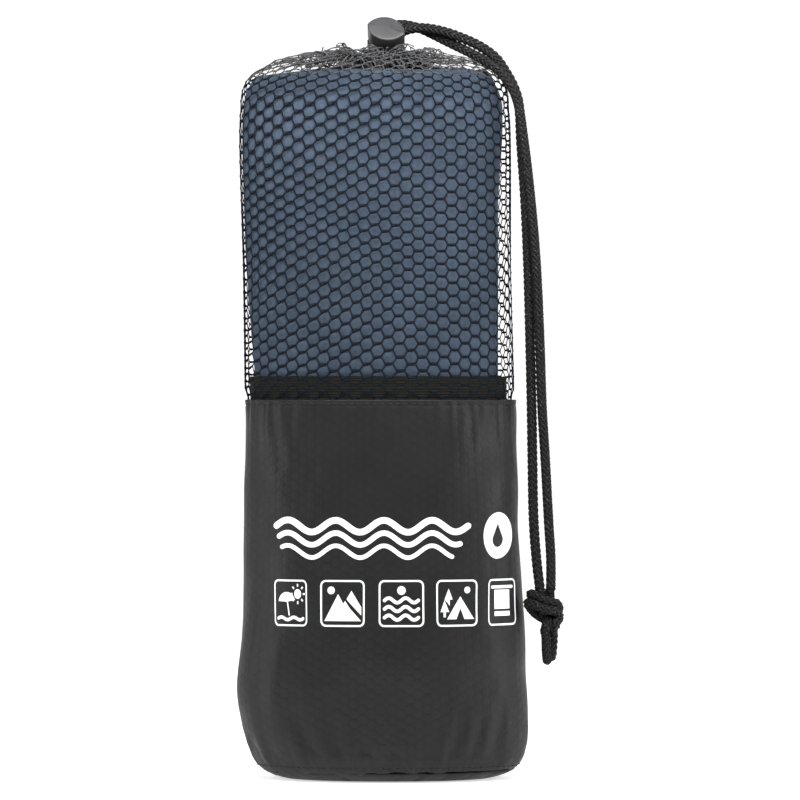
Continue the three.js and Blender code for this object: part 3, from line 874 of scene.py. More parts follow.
def build_base():
    """The bottom panel: a shallow dish that is sewn to the wall all round."""
    cols = 300
    s = np.arange(cols) / cols
    a = from_front(s) * ROUND
    rise = 0.35 * bottom_waves(a, np.zeros(cols)) + 0.25 * small_waves(a, np.zeros(cols))
    rings = []
    for share, z, grow in [
        (1.0, BASE_SEAM - 0.1, -0.5), (1.0, BASE_SEAM - 0.7, 0.25), (1.0, 2.4, 0.5),
        (1.0, 1.4, 0.1), (0.985, 0.75, 0.0), (0.955, 0.3, 0.0), (0.9, 0.08, 0.0),
        (0.8, 0.02, 0.0), (0.6, 0.0, 0.0), (0.35, 0.0, 0.0), (0.12, 0.0, 0.0),
    ]:
        low, low_out = skin(s, np.full(cols, max(z, 0.0)), 0.5)
        ring = low + low_out * (grow + 0.5 * rise * (z > 0.3))[:, None]
        ring[:, :2] = BASE_MIDDLE + (ring[:, :2] - BASE_MIDDLE) * share
        ring[:, 2] = z + (0.25 * np.abs(rise) if 0.3 < z < BASE_SEAM - 0.3 else 0)
        rings.append(ring)
    outer = np.array(rings[::-1])
    inner = outer[::-1].copy()
    inner[..., 2] = np.maximum(inner[..., 2], 0.0) + 0.55
    inner[..., :2] = BASE_MIDDLE + (inner[..., :2] - BASE_MIDDLE) * 0.985
    points = np.concatenate([outer, inner])
    faces = barrel_faces(len(points), cols)
    verts = points.reshape(-1, 3)
    base = new_piece("nylon_base_cloth", verts, faces, NYLON, verts[:, :2])
    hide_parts("pocket_base_panel")
    return base


def stitches(name, s, z, extra, length=2.1, gap=0.9, radius=0.17, sink=0.12):
    """A line of sewn stitches round the pouch at height z, between shares s[0] and s[1]."""
    total = (s[1] - s[0]) * float(girth(z))
    count = int(total / (length + gap))
    start = s[0] + (s[1] - s[0]) * np.arange(count) / count
    share = (s[1] - s[0]) / count * length / (length + gap)
    at = start[:, None] + share * np.linspace(0, 1, 6)[None]
    points, out = nylon_surface(at, np.full(at.shape, z), extra)
    dip = sink * np.array([-2.2, 0.2, 1, 1, 0.2, -2.2])
    points = points + out * dip[None, :, None]
    verts, faces, uv = tubes(points, out, radius * 1.15, radius, 6)
    new_piece(name, verts, faces, THREAD, uv)


build_wall()
base = build_base()
stitches("hem_stitch_line", (0, 1), POCKET_TOP - STITCH_DROP, 0.14)
stitches("base_stitch_line", (0, 1), BASE_SEAM + 1.6, 0.1, 1.8, 0.8, 0.15)

# ------------------------------------------------------------------ net

NET_PITCH = 4.25
COLUMNS = 2 * int(round(float(girth(210)) / NET_PITCH / 2))
ROW = 5.15
NET_START = 143.3
SLEEVE_ROWS, CROWN_ROWS, RUFFLE_ROWS = 23, 9, 2
CROWN_START, CROWN_TOP = NET_START + SLEEVE_ROWS * ROW, 282.4
NECK = (1.4, -3.0, 279.5, 14.5, 11.0)  # the middle's x, y and z, and half of its sizes
NECK_MOUTH = 28  # degrees from the front, either way, where the casing opens
DRIFT_SPAN, DRIFT_ACROSS = 260, 0.0016

drift = Ripple(21, 1.0, 0.16, 0.5, 10)
drift_across = Ripple(22, 1.0, 0.16, 0.5, 10)
pleat_a = Ripple(31, 1.0, 0.05, 0.09, 12)
pleat_b = Ripple(32, 1.0, 0.045, 0.1, 12)
crush_x = Ripple(33, 1.0, 0.045, 0.1, 14)
crush_y = Ripple(34, 1.0, 0.045, 0.1, 14)
crush_z = Ripple(35, 1.0, 0.04, 0.09, 14)


def row_shift(s, z):
    """How much a row of cells stands above its even height."""
    a = from_front(s)
    slant = -2.6 * smooth(-a, 0.02, 0.2) + 1.0 * smooth(a, 0.05, 0.2)
    return slant * smooth(z, 150, 200) + 0.5 * drift(s, np.asarray(z) / DRIFT_SPAN)


def neck_point(s, grown, z):
    angle = TAU * np.asarray(s, float)
    x = NECK[0] + (NECK[3] + grown) * np.sin(angle)
    y = NECK[1] - (NECK[4] + grown) * np.cos(angle)
    return np.stack(np.broadcast_arrays(x, y, np.asarray(z, float)), -1)


ROLL_OVER = 0.7  # superellipse power of the crown's outline, from upright to level
ROLL_EASE = 1.1  # so that its first rows stand about as far apart as the sleeve's
ROLL_RISE = 21.2


def net_point(s, row):
    """Where the net is at a share s of its way round and a number of rows up."""
    s, row = np.broadcast_arrays(np.asarray(s, float), np.asarray(row, float))
    z = NET_START + row * ROW
    level = z + row_shift(s, z) * (1 - smooth(z, CROWN_START - 25, CROWN_START))
    across = s + DRIFT_ACROSS * drift_across(s, z / DRIFT_SPAN)
    inset = 1.6 - 1.1 * smooth(level, POCKET_TOP + 0.5, POCKET_TOP + 5)
    sleeve, out = skin(across, np.minimum(level, CROWN_START), inset)
    t = np.clip((row - SLEEVE_ROWS) / CROWN_ROWS, 0, 1)[..., None]
    over = np.clip(row - SLEEVE_ROWS - CROWN_ROWS, 0, RUFFLE_ROWS)[..., None] / RUFFLE_ROWS
    ring = neck_point(s, 3.0, NECK[2])
    facing = np.abs(np.cos(TAU * s))[..., None] ** 1.5  # 1 at the front and back, 0 at the sides
    quarter = t**ROLL_EASE * TAU / 4
    inward = 1 - np.cos(quarter) ** ROLL_OVER
    upward = np.sin(quarter) ** ROLL_OVER
    point = sleeve * (1 - inward) + ring * inward
    rise = CROWN_TOP - CROWN_START + 0.6 * facing
    rise = rise - 1.0 * (smooth(s, 0.08, 0.25) * (1 - smooth(s, 0.25, 0.42)))[..., None]
    point[..., 2:] = np.where(t > 0, sleeve[..., 2:] + rise * upward, point[..., 2:])
    tv = row * 0.026
    gather = smooth(t, 0.3, 0.95)
    amount = gather * (0.35 + 0.75 * facing)
    crush = np.stack([crush_x(s, tv), crush_y(s, tv), crush_z(s, tv)], -1)
    point = point + crush * np.array([1.5, 1.6, 0.6]) * amount
    radial = point - np.array([NECK[0], NECK[1], 0])
    radial[..., 2] = 0
    radial = unit(radial)
    fold = pleat_a(s, tv * 0.35)[..., None] * gather
    point = point + radial * fold * 0.8
    point[..., 2:] += 0.7 * fold - 0.3 * gather
    turn = over * (2.3 + 0.6 * pleat_b(s, tv)[..., None])
    reach = 1.2 + 0.5 * pleat_b(s + 0.4, tv)[..., None]
    point = point + radial * reach * (1 - np.cos(turn)) * 1.3
    point[..., 2:] += reach * np.sin(turn)
    normal = unit(out * (1 - upward) + (radial * 0.5 + np.array([0, 0, 1.0])) * upward)
    return point, normal


# The cord lock: the middle of its face, how far it leans forward and to the side, the face's
# height over the lock's own middle, and the half length, half width and ends of the lens
# that the yarns keep out of.
LOCK_FACE, LOCK_TILT, LOCK_SLANT, LOCK_HEIGHT = (1.4, -17, 291.7), 58, 15.2, 13.7
LENS_LONG, LENS_WIDE, LENS_EDGE, LENS_LOW, LENS_HIGH = 7.8, 5.5, 1.05, -9.5, 16


def lock_frame():
    tilt, slant = math.radians(LOCK_TILT), math.radians(LOCK_SLANT)
    out = np.array([0, -math.sin(tilt), math.cos(tilt)])
    dropped = math.tan(slant)
    along = unit(np.array([1, (out[2] / out[1]) * dropped, -dropped]))
    through = np.cross(out, along)
    middle = np.array(LOCK_FACE) - out * LOCK_HEIGHT
    return middle, along, through, out


LOCK_AT, LOCK_ALONG, LOCK_THROUGH, LOCK_OUT = lock_frame()


def in_lock(points, room=0.6):
    """True where a point would be in the cord lock or in its button's way."""
    local = points - LOCK_AT
    x, y, z = local @ LOCK_ALONG, local @ LOCK_THROUGH, local @ LOCK_OUT
    lens = (np.abs(x) / (LENS_LONG + room)) ** 2 + np.abs(y) / (LENS_WIDE + room)
    return (lens < LENS_EDGE) & (z > LENS_LOW - room) & (z < LENS_HIGH)


def cell_sides(columns, count, rows, shift=0.0):
    """The level side and the two slanting sides above it of each hexagon cell, for `count`
    columns in the width of 1: their ends, as (cells, 3, 2 ends, column and row)."""
    pitch = 1 / count
    reach = pitch / 3
    sides = []
    for i in columns:
        for j in rows:
            middle, row = (i + shift) * pitch, j + 0.5 * (i % 2)
            left, right = (middle - reach, row), (middle + reach, row)
            sides.append([
                (left, right),
                (right, (middle + pitch - reach, row + 0.5)),
                (left, (middle - pitch + reach, row + 0.5)),
            ])
    return np.array(sides)


def along(ends, steps):
    """Even steps from the first to the second of each pair of ends."""
    share = np.linspace(0, 1, steps)[None, :, None]
    return ends[:, :1] * (1 - share) + ends[:, 1:] * share


def knot_jitter(s, row):
    """A small offset for each corner of the net, the same for every side that meets there."""
    third = np.round(s * COLUMNS * 3).astype(np.int64)
    key = third % (COLUMNS * 3) * 1009 + np.round(row * 2).astype(np.int64)
    rng = np.random.default_rng(5)
    table = rng.uniform(-1, 1, (4096, 2))
    picked = table[key % 4096]
    a = from_front(s)
    side = np.where(third % 3 == 1, 1, -1)
    tilt = 0.13 * (1 - smooth(a, -0.04, 0.1)) * smooth(a, -0.3, -0.2)
    return picked[..., 0] * 0.0009, picked[..., 1] * 0.03 + tilt * side


def yarn_lines(ends, steps):
    ds, dr = knot_jitter(ends[..., 0], ends[..., 1])
    ends = ends + np.stack([ds, dr], -1)
    at = along(ends, steps)
    points, normals = net_point(at[..., 0], at[..., 1])
    keep = ~in_lock(points).any(1)
    return points[keep], normals[keep]


def net_piece(name, first, last, level=True, crown=False, material=NET):
    sides = cell_sides(range(COLUMNS), COLUMNS, range(first, last))
    parts = []
    if level:
        points, normals = yarn_lines(sides[:, 0], 5)
        share = np.linspace(0, 1, 5)
        turn = TAU * 0.75 * share
        tangent = unit(np.gradient(points, axis=1))
        across = unit(np.cross(tangent, normals))
        thick = np.array([0.2, 0.37, 0.42, 0.37, 0.2])[None] * (0.62 if crown else 1)
        for way in (1, -1):
            shift = 0.12 * way
            moved = points + (
                across * (shift * np.cos(turn))[None, :, None]
                + normals * (shift * np.sin(turn))[None, :, None]
            )
            parts.append(tubes(moved, normals, thick, 0.7 * thick, 5))
    else:
        points, normals = yarn_lines(sides[:, 1:].reshape(-1, 2, 2), 4)
        share = np.linspace(0, 1, 4)
        width = 0.23 + 0.05 * np.cos(TAU * share)
        parts.append(tubes(points, normals, width[None], width[None] * 0.92, 5))
    verts, faces, uv = joined(parts)
    return new_piece(name, verts, faces, material, uv)


sleeve_level = net_piece("net_sleeve_level_yarns", 0, SLEEVE_ROWS)
net_piece("net_sleeve_slant_yarns", 0, SLEEVE_ROWS, level=False)
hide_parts("net_sleeve")
LOOSE_START = SLEEVE_ROWS + 3
crown_last = SLEEVE_ROWS + CROWN_ROWS + RUFFLE_ROWS
net_piece("net_shoulder_level_yarns", SLEEVE_ROWS, LOOSE_START)
net_piece("net_shoulder_slant_yarns", SLEEVE_ROWS, LOOSE_START, level=False)
# The crown's yarns take the lighter copy of the net, a painted highlight.
crown_level = net_piece(
    "net_crown_level_yarns", LOOSE_START, crown_last, crown=True, material=NET_PAINTED_HIGHLIGHT
)
net_piece(
    "net_crown_slant_yarns", LOOSE_START, crown_last, level=False, material=NET_PAINTED_HIGHLIGHT
)
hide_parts("net_crown")

fold_a = Ripple(61, 1.0, 0.1, 0.3, 14)
fold_b = Ripple(62, 1.0, 0.1, 0.3, 14)
fold_c = Ripple(63, 1.0, 0.1, 0.3, 14)


def bunched_point(u, v, layer):
    """The net bunched up in front of the neck: u runs left to right, v up from the towel."""
    x = -31 + 49 * u + 2.0 * fold_a(u + 0.37 * layer, v * 0.5)
    arch = np.sin(math.pi * np.clip(u, 0, 1)) ** 0.4
    y = -19.5 + 3.5 * v + 1.3 * layer + 4 * (1 - arch) + 2.0 * fold_b(u + 0.31 * layer, v * 0.5)
    z = 277 + (3.2 + 3.2 * arch) * v + 1.1 * fold_c(u + 0.23 * layer, v * 0.5)
    return np.stack([x, y, z], -1)


def build_bunch():
    parts = []
    count, rows = 24, 3
    ends = cell_sides(range(count), count, range(rows), 0.5).reshape(-1, 2, 2)
    ends[..., 1] /= rows
    at = along(ends, 4)
    for layer in range(2):
        points = bunched_point(at[..., 0], at[..., 1], layer)
        points = points[~in_lock(points).any(1)]
        normals = np.broadcast_to(unit(np.array([0.0, -1.0, 0.5])), points.shape)
        parts.append(tubes(points, normals, 0.27, 0.25, 5))
    verts, faces, uv = joined(parts)
    # The bunched yarns take the lighter copy of the net, a painted highlight.
    new_piece("net_bunched_yarns", verts, faces, NET_PAINTED_HIGHLIGHT, uv)


build_bunch()

# ------------------------------------------------------------------ towel

TOWEL_TOP, TOWEL_BOTTOM = 276.0, 1.5
TOWEL_LEFT, TOWEL_RIGHT, TOWEL_DEEP = -56, 49, 24.9
WAIST_Z, WAIST_REACH, WAIST_DRAW = 142, 50, 0.1
BAND_BOTTOM, BAND_TOP, BAND_AROUND = 122.0, 157.0, 260
WRAPS = 9.4
WRAP_PITCH = 2.5
LAYER = WRAP_PITCH / 3


def towel_edges(z):
    z = np.asarray(z, float)
    draw = 1 - WAIST_DRAW * np.exp(-(((z - WAIST_Z) / WAIST_REACH) ** 2))
    level = np.clip(z, 0, SHOULDER)
    pouch = [np.interp(level, EASED[0], EASED[i]) for i in (1, 2, 3)]
    room = mix(2.8, 0.7, smooth(z, 160, 210))
    ends = np.minimum(1, (TOWEL_TOP + 1.5 - z) / 12)
    round_over = 1 - 0.1 * (1 - ends) ** 2
    left = np.maximum(TOWEL_LEFT * draw, pouch[0] + room) * round_over
    slack = 1 - 0.035 * (1 - smooth(z, 222, 256))  # the right side is drawn in further up
    right = np.minimum(TOWEL_RIGHT * slack, pouch[1] - room) * round_over
    deep = np.minimum(TOWEL_DEEP, pouch[2] - room) * round_over
    return left, right, deep


towel_waves = Ripple(41, TAU, 0.9, 2.4, 10)
towel_tops = Ripple(42, TAU, 0.8, 2.2, 8)


def towel_point(angle, inset, z):
    """A point of the roll: angle round it, inset from its outside, height."""
    left, right, deep = towel_edges(z)
    x, y = superellipse(left + inset, right - inset, np.maximum(deep - inset, 0.15), angle)
    return np.stack(np.broadcast_arrays(x, y, z), -1)


def net_place(points):
    """The net's column and row over each point on the front or the back."""
    z = points[..., 2]
    value = front_share(points[..., 0], z)
    s = np.where(points[..., 1] > 0, 0.5 - value, value)
    even = z
    for _ in range(2):
        fade = 1 - smooth(even, CROWN_START - 25, CROWN_START)
        even = z - row_shift(s, even) * fade
    s = s - DRIFT_ACROSS * drift_across(s, even / DRIFT_SPAN)
    over = np.clip((even - CROWN_START) / ROLL_RISE, 0, 1)
    turned = np.arcsin(over ** (1 / ROLL_OVER)) / (TAU / 4)
    rolled = turned ** (1 / ROLL_EASE) * CROWN_ROWS
    return s * COLUMNS, (np.minimum(even, CROWN_START) - NET_START) / ROW + rolled


def cell_depth(col, up):
    """How deep in a net cell a place is: 0 at its sides to 1 in its middle."""
    best = np.zeros(col.shape)
    for parity in (0, 1):
        c = np.round((col - parity) / 2) * 2 + parity
        r = np.floor(up - 0.5 * (parity % 2)) + 0.5 + 0.5 * (parity % 2)
        dx, dy = np.abs(col - c), np.abs(up - r)
        edge = np.maximum(dy * 2, dx * 1.5 + dy)
        best = np.maximum(best, 1 - edge)
    return np.clip(best, 0, 1)


SEAM_PRESS = 2.7


def build_towel():
    # Angles along the roll, from the free end at the back, inwards.
    fine = np.linspace(0, TAU, 1441)
    reference = towel_point(fine, 0.6, np.full(fine.shape, 215.0))
    run = run_length(reference)
    start = math.radians(62)
    outer_count = 206
    first = np.interp(start, fine, run)
    at = (first + np.arange(outer_count) * run[-1] / outer_count) % run[-1]
    outer = np.unwrap(np.interp(at, run, fine))
    rest = np.arange(1, int((WRAPS - 1) * 22) + 1) * TAU / 22 + outer[0] + TAU
    angle = np.concatenate([outer, [outer[0] + TAU], rest])
    turns = (angle - angle[0]) / TAU
    # The cut across the roll: three layers, folded at the top and at the bottom.
    stretches = (TOWEL_BOTTOM + 2, 140, 9), (150, 156, 3), (158, 273.9, 78)
    tall = np.concatenate([np.linspace(*stretch) for stretch in stretches])
    plain = np.linspace(TOWEL_BOTTOM + 2, 273.5, 9)
    bend = np.radians([-60, -30, 0, 30, 60])
    lines = [(1.0, z, 0) for z in tall]
    top_z, bottom_z = 274.3, TOWEL_BOTTOM + 1.2
    lines += [(0.5 - 0.5 * math.sin(b), top_z + 0.9 * math.cos(b), 0) for b in bend]
    lines += [(0.0, z, 0) for z in plain[::-1]]
    lines += [(-0.5 - 0.5 * math.sin(b), bottom_z - 0.9 * math.cos(b), 0) for b in bend]
    lines += [(-1.0, z, 0) for z in plain]
    centre = np.array(lines)
    lane, height = centre[:, 0] * LAYER, centre[:, 1]
    flow = np.stack([np.gradient(lane), np.gradient(height)], 1)
    flow = flow / np.maximum(np.linalg.norm(flow, axis=1, keepdims=True), 1e-6)
    sideways = np.stack([flow[:, 1], -flow[:, 0]], 1)
    half = LAYER * 0.45
    skins = []
    for side in (1, -1):
        lane_side = lane + side * half * sideways[:, 0]
        height_side = height + side * half * sideways[:, 1]
        a = angle[:, None]
        w = turns[:, None]
        inset = WRAP_PITCH / 2 + WRAP_PITCH * np.clip(w, 0, None) - lane_side[None]
        inset = np.broadcast_to(inset, (len(angle), len(lane))).copy()
        z = np.broadcast_to(height_side[None], inset.shape).copy()
        wave = towel_waves(a + 0 * z, z / 60)
        inset += 0.25 * wave * smooth(w, 0.9, 2.0) * (1 - smooth(inset, 18, 23))
        topness = smooth(z, 200, 272)
        lean = 0.022 * (towel_point(a + 0 * z, inset, z)[..., 0])
        z = z + topness * (lean + 0.9 * towel_tops(a + 0 * z, w * 0.9) * smooth(w, 0.6, 1.2))
        z = z + topness * 0.5 * np.sin(a * 3 + 1.0)
        bulge = 1.5 * smooth(z, 158, 185) * (1 - smooth(z, 256, 274)) * np.exp(-w / 2.5)
        facing = np.abs(np.sin(a)) ** 0.8
        inset = inset - bulge * facing
        points = towel_point(a + 0 * z, inset, z)
        if side == 1:
            outside = (w < 1.02) & (lane[None] > 0.9 * LAYER) & (z > 157)
            col, up = net_place(points)
            place = np.stack([col + 2 * COLUMNS, up + 0.5], -1)
            depth = cell_depth(col, up)
            flat = smooth(np.abs(points[..., 1]), 6, 14)
            push = np.where(outside, 0.6 * depth ** 0.7 * flat, 0)
            points[..., 1] += np.sign(points[..., 1]) * push
        skins.append(points)
    one, two = skins
    rows_count, side_count = one.shape[:2]
    ring = np.concatenate([one, two[:, ::-1]], 1)
    uv = np.concatenate([place, np.broadcast_to([1.0, 0.5], two.shape[:2] + (2,))], 1)
    cols = ring.shape[1]
    index = np.arange(rows_count * cols).reshape(rows_count, cols)
    faces = grid_faces(rows_count, cols, close_cols=True, flip=True)
    left_index = index[:, :side_count]
    right_index = index[:, side_count:][:, ::-1]
    caps = []
    for r, flip in ((0, False), (-1, True)):
        a, b = left_index[r, :-1], left_index[r, 1:]
        c, d = right_index[r, 1:], right_index[r, :-1]
        cap = np.stack([a, b, c, d], -1)
        caps.append(cap[:, ::-1] if flip else cap)
    # The net's back seam presses into the roll, less so in its deeper layers.
    near = smooth(ring[..., 0], -15, -9) * (1 - smooth(ring[..., 0], 5, 11))
    depth = np.clip((ring[..., 1] - 8) / 16, 0, 1)
    ring[..., 1] -= SEAM_PRESS * near * depth * smooth(ring[..., 2], 150, 166)
    verts, faces, uv = ring.reshape(-1, 3), [faces, *caps], uv.reshape(-1, 2)
    towel = new_piece("towel_rolled_cloth", verts, faces, TOWEL, uv)
    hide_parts("towel_bundle")
    return towel


towel = build_towel()


def build_band():
    cols = 240
    angle = np.arange(cols) * TAU / cols
    outline = []
    heights = np.linspace(BAND_BOTTOM, BAND_TOP, 45)
    for i, z in enumerate(heights):
        outline.append((z, -0.3 - 0.9 - 0.16 * (i % 2)))
    outline += [(z, -0.35) for z in heights[::-1]]
    points = np.array([
        towel_point(angle, np.full(cols, inset), np.full(cols, z)) for z, inset in outline
    ])
    uv = np.zeros(points.shape[:2] + (2,))
    uv[..., 0] = angle / TAU * BAND_AROUND
    uv[..., 1] = points[..., 2]
    faces = [grid_faces(len(points), cols, close_rows=True, close_cols=True)]
    verts, loops = points.reshape(-1, 3), closed_uv(uv, BAND_AROUND)
    band = new_piece("towel_elastic_web", verts, faces, ELASTIC, loops)
    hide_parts("towel_elastic_band")


build_band()

# ------------------------------------------------------------------ the cord at the neck


def lock_to_world(x, y, z):
    return LOCK_AT + x * LOCK_ALONG + y * LOCK_THROUGH + z * LOCK_OUT


def channel_cord_line():
    beside = CORD_D / 2 + 0.1
    mouth = math.radians(NECK_MOUTH)
    ring = [
        neck_point((mouth + (TAU - 2 * mouth) * i / 16) / TAU, 0, NECK[2]) for i in range(17)
    ]
    lead = [lock_to_world(beside, y, 0) for y in (5.8, 0, -5.8)] + [
        np.array([3.2, -12.2, 278.6]), neck_point(mouth * 0.7 / TAU, 0.1, NECK[2] - 0.2),
    ]
    back = [
        neck_point(-mouth * 0.7 / TAU, 0.1, NECK[2] - 0.2), np.array([-1.9, -12.2, 278.4]),
    ] + [lock_to_world(-beside, y, 0) for y in (-5.8, 0, 5.8)]
    return catmull(lead + ring + back, 10)


verts, faces, uv = braided(channel_cord_line(), CORD_D)
channel_cord = new_piece("drawcord_neck_loop", verts, faces, CORD, uv)
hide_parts("channel_cord")

channel_swell = Ripple(51, 1.0, 0.02, 0.05, 14)


def channel_point(s, turn):
    """On the ruffled casing: s along the ring, turn round its pipe."""
    mouth = NECK_MOUTH / 360
    at = mouth + (1 - 2 * mouth) * np.asarray(s, float)
    radius = 3.0 + 0.7 * channel_swell(s, np.asarray(turn) * 0.1)
    middle = neck_point(at, 0, NECK[2])
    radial = unit(middle - np.array([NECK[0], NECK[1], NECK[2]]))
    angle = TAU * np.asarray(turn, float)
    out = radial * np.cos(angle)[..., None] + np.array([0, 0, 1.0]) * np.sin(angle)[..., None]
    return middle + out * radius[..., None], out


def build_channel():
    count, rings = 60, 5
    ends = cell_sides(range(1, count - 1), count, range(rings)).reshape(-1, 2, 2)
    ends[..., 1] /= rings
    at = along(ends, 3)
    points, normals = channel_point(at[..., 0], at[..., 1])
    keep = ~in_lock(points).any(1)
    verts, faces, uv = tubes(points[keep], normals[keep], 0.26, 0.24, 5)
    channel = new_piece("net_cord_casing", verts, faces, NET, uv)
    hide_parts("cord_channel")


build_channel()

# ------------------------------------------------------------------ cord lock

# A cap that encloses the head of the record's own button, with sharper ends.
CAP_LENGTH, CAP_WIDTH = 15.1, 11.12
CAP_LOW, CAP_TOP = 6.55, 13.95
CAP_EDGE, CAP_CROWN = 0.55, 0.12
TIP_R = 0.4


def lens_outline(length, width, inset=0.0, count=40):
    tip_at = length / 2 - TIP_R
    rise = width / 2 - TIP_R
    radius = (tip_at**2 + rise**2) / (2 * rise)
    drop = radius - rise
    reach = math.asin(tip_at / radius)
    quarter = math.pi / 2
    tip = max(TIP_R - inset, 0.02)
    big = radius + TIP_R - inset
    arcs = [
        (0, -drop, big, quarter - reach, quarter + reach, count),
        (-tip_at, 0, tip, quarter + reach, 3 * quarter - reach, 9),
        (0, drop, big, 3 * quarter - reach, 3 * quarter + reach, count),
        (tip_at, 0, tip, -quarter + reach, quarter - reach, 9),
    ]
    points = []
    for x, y, r, a, b, n in arcs:
        for angle in np.linspace(a, b, n, endpoint=False):
            points.append((x + r * math.cos(angle), y + r * math.sin(angle)))
    return np.array(points)


def build_cap():
    """The lens-shaped cap, from rings of (inset, scale, height) from the bottom up."""
    rim = CAP_TOP - CAP_EDGE - CAP_CROWN
    rings = [(0.12, 1, CAP_LOW), (0.0, 1, CAP_LOW + 0.3)]
    rings += [(0.0, 1, z) for z in np.linspace(CAP_LOW + 1.2, rim - 0.1, 6)]
    for turn in np.radians([0, 18, 36, 54, 72, 90]):
        rings.append((CAP_EDGE * (1 - math.cos(turn)), 1, rim + CAP_EDGE * math.sin(turn)))
    for scale in (0.97, 0.9, 0.78, 0.6, 0.4, 0.18):
        rings.append((CAP_EDGE, scale, CAP_TOP - CAP_CROWN * scale**2))
    points = []
    for inset, scale, z in rings:
        ring = lens_outline(CAP_LENGTH, CAP_WIDTH, inset) * scale
        points.append(lock_to_world(ring[:, :1], ring[:, 1:], z))
    points = np.array(points)
    return points.reshape(-1, 3), barrel_faces(*points.shape[:2])


verts, faces = build_cap()
new_piece("lock_button_cap", verts, faces, PLASTIC, body=BUTTON_BODY)


def material_on_node(node, material):
    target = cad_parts[node]
    target = target if hasattr(target, "data") else bpy.data.objects[target]
    for slot in target.material_slots:
        slot.material = material
    if not target.material_slots:
        target.data.materials.append(material)


for node in ("cord_lock_body", "cord_lock_button"):
    material_on_node(node, PLASTIC)
material_on_node("cord_lock_spring", STEEL)
for node in ("pocket_back_seam", "base_seam_binding", "net_back_seam"):
    material_on_node(node, NYLON_DARK)

# ------------------------------------------------------------------ prints


INK_STAND = 0.07
ink_parts = []


def ink(outline, hole=None, spacing=1.1):
    """A flat printed shape: outline is (x, z) on the front, with an optional hole."""
    outline = np.asarray(outline, float)
    loops = [outline] + ([np.asarray(hole, float)] if hole is not None else [])
    rim = []
    for loop in loops:
        closed = np.vstack([loop, loop[:1]])
        dense = []
        for a, b in zip(closed[:-1], closed[1:]):
            n = max(1, int(np.linalg.norm(b - a) / spacing))
            dense += [a + (b - a) * i / n for i in range(n)]
        rim.append(np.array(dense))
    points = np.concatenate(rim)
    edges, at = [], 0
    for loop in rim:
        n = len(loop)
        edges += [(at + i, at + (i + 1) % n) for i in range(n)]
        at += n
    low, high = outline.min(0), outline.max(0)
    xs = np.arange(low[0] + spacing / 2, high[0], spacing)
    zs = np.arange(low[1] + spacing / 2, high[1], spacing)
    gx, gz = np.meshgrid(xs, zs)
    grid = np.stack([gx.ravel(), gz.ravel()], 1)

    def inside(p, loop):
        x, y = p[:, 0], p[:, 1]
        hit = np.zeros(len(p), bool)
        for a, b in zip(loop, np.roll(loop, -1, axis=0)):
            cross = (a[1] > y) != (b[1] > y)
            hit ^= cross & (x < (b[0] - a[0]) * (y - a[1]) / (b[1] - a[1] + 1e-12) + a[0])
        return hit

    def clear(p, loop):
        return np.min(np.linalg.norm(p[:, None] - loop[None], axis=2), axis=1) > 0.45 * spacing

    if len(grid):
        keep = inside(grid, rim[0]) & clear(grid, rim[0])
        if hole is not None:
            keep &= ~inside(grid, rim[1]) & clear(grid, rim[1])
        grid = grid[keep]
    every = np.concatenate([points, grid]) if len(grid) else points
    result = delaunay_2d_cdt([Vector(p) for p in every], edges, [], 0, 1e-6)
    flat = np.array([(v.x, v.y) for v in result[0]])
    triangles = np.array([list(f) for f in result[2]])
    middle = flat[triangles].mean(1)
    keep = inside(middle, rim[0])
    if hole is not None:
        keep &= ~inside(middle, rim[1])
    triangles = triangles[keep]
    d1 = flat[triangles[:, 1]] - flat[triangles[:, 0]]
    d2 = flat[triangles[:, 2]] - flat[triangles[:, 0]]
    turned = d1[:, 0] * d2[:, 1] - d1[:, 1] * d2[:, 0]
    triangles[turned < 0] = triangles[turned < 0][:, ::-1]
    triangles = triangles[np.abs(turned) > 1e-6]
    stand = INK_STAND + 0.004 * (len(ink_parts) % 9)
    s = front_share(flat[:, 0], flat[:, 1])
    verts, _ = nylon_surface(s, flat[:, 1], stand)
    ink_parts.append((verts, [triangles], flat))


def stroke(points, width, round_ends=True):
    """An outline round a line of points, with the given width."""
    p = np.asarray(points, float)
    run = np.gradient(p, axis=0)
    run = run / np.maximum(np.linalg.norm(run, axis=1, keepdims=True), 1e-9)
    side = np.stack([-run[:, 1], run[:, 0]], 1) * width / 2
    left, right = p + side, p - side
    if not round_ends:
        return np.vstack([left, right[::-1]])
    turn = np.linspace(0, math.pi, 7)[1:-1]
    end = [p[-1] + side[-1] * math.cos(t) + run[-1] * math.sin(t) * width / 2 for t in turn]
    start = [p[0] - side[0] * math.cos(t) - run[0] * math.sin(t) * width / 2 for t in turn]
    return np.vstack([left, end, right[::-1], start])


def disc(x, z, rx, rz=None, count=28):
    angle = TAU * np.arange(count) / count
    return np.stack([x + rx * np.cos(angle), z + (rz or rx) * np.sin(angle)], 1)


def round_box(x0, x1, z0, z1, radius, squeeze=1.0):
    points = []
    for cx, cz, start in (
        (x1 - radius * squeeze, z1 - radius, 0), (x0 + radius * squeeze, z1 - radius, 90),
        (x0 + radius * squeeze, z0 + radius, 180), (x1 - radius * squeeze, z0 + radius, 270),
    ):
        for a in np.radians(np.linspace(start, start + 90, 6)):
            points.append((cx + radius * squeeze * math.cos(a), cz + radius * math.sin(a)))
    return np.array(points)


def wave_line(x0, x1, z, height, length, phase=0.0, count=40):
    x = np.linspace(x0, x1, count)
    return np.stack([x, z + height * np.sin(TAU * (x - x0) / length + phase)], 1)


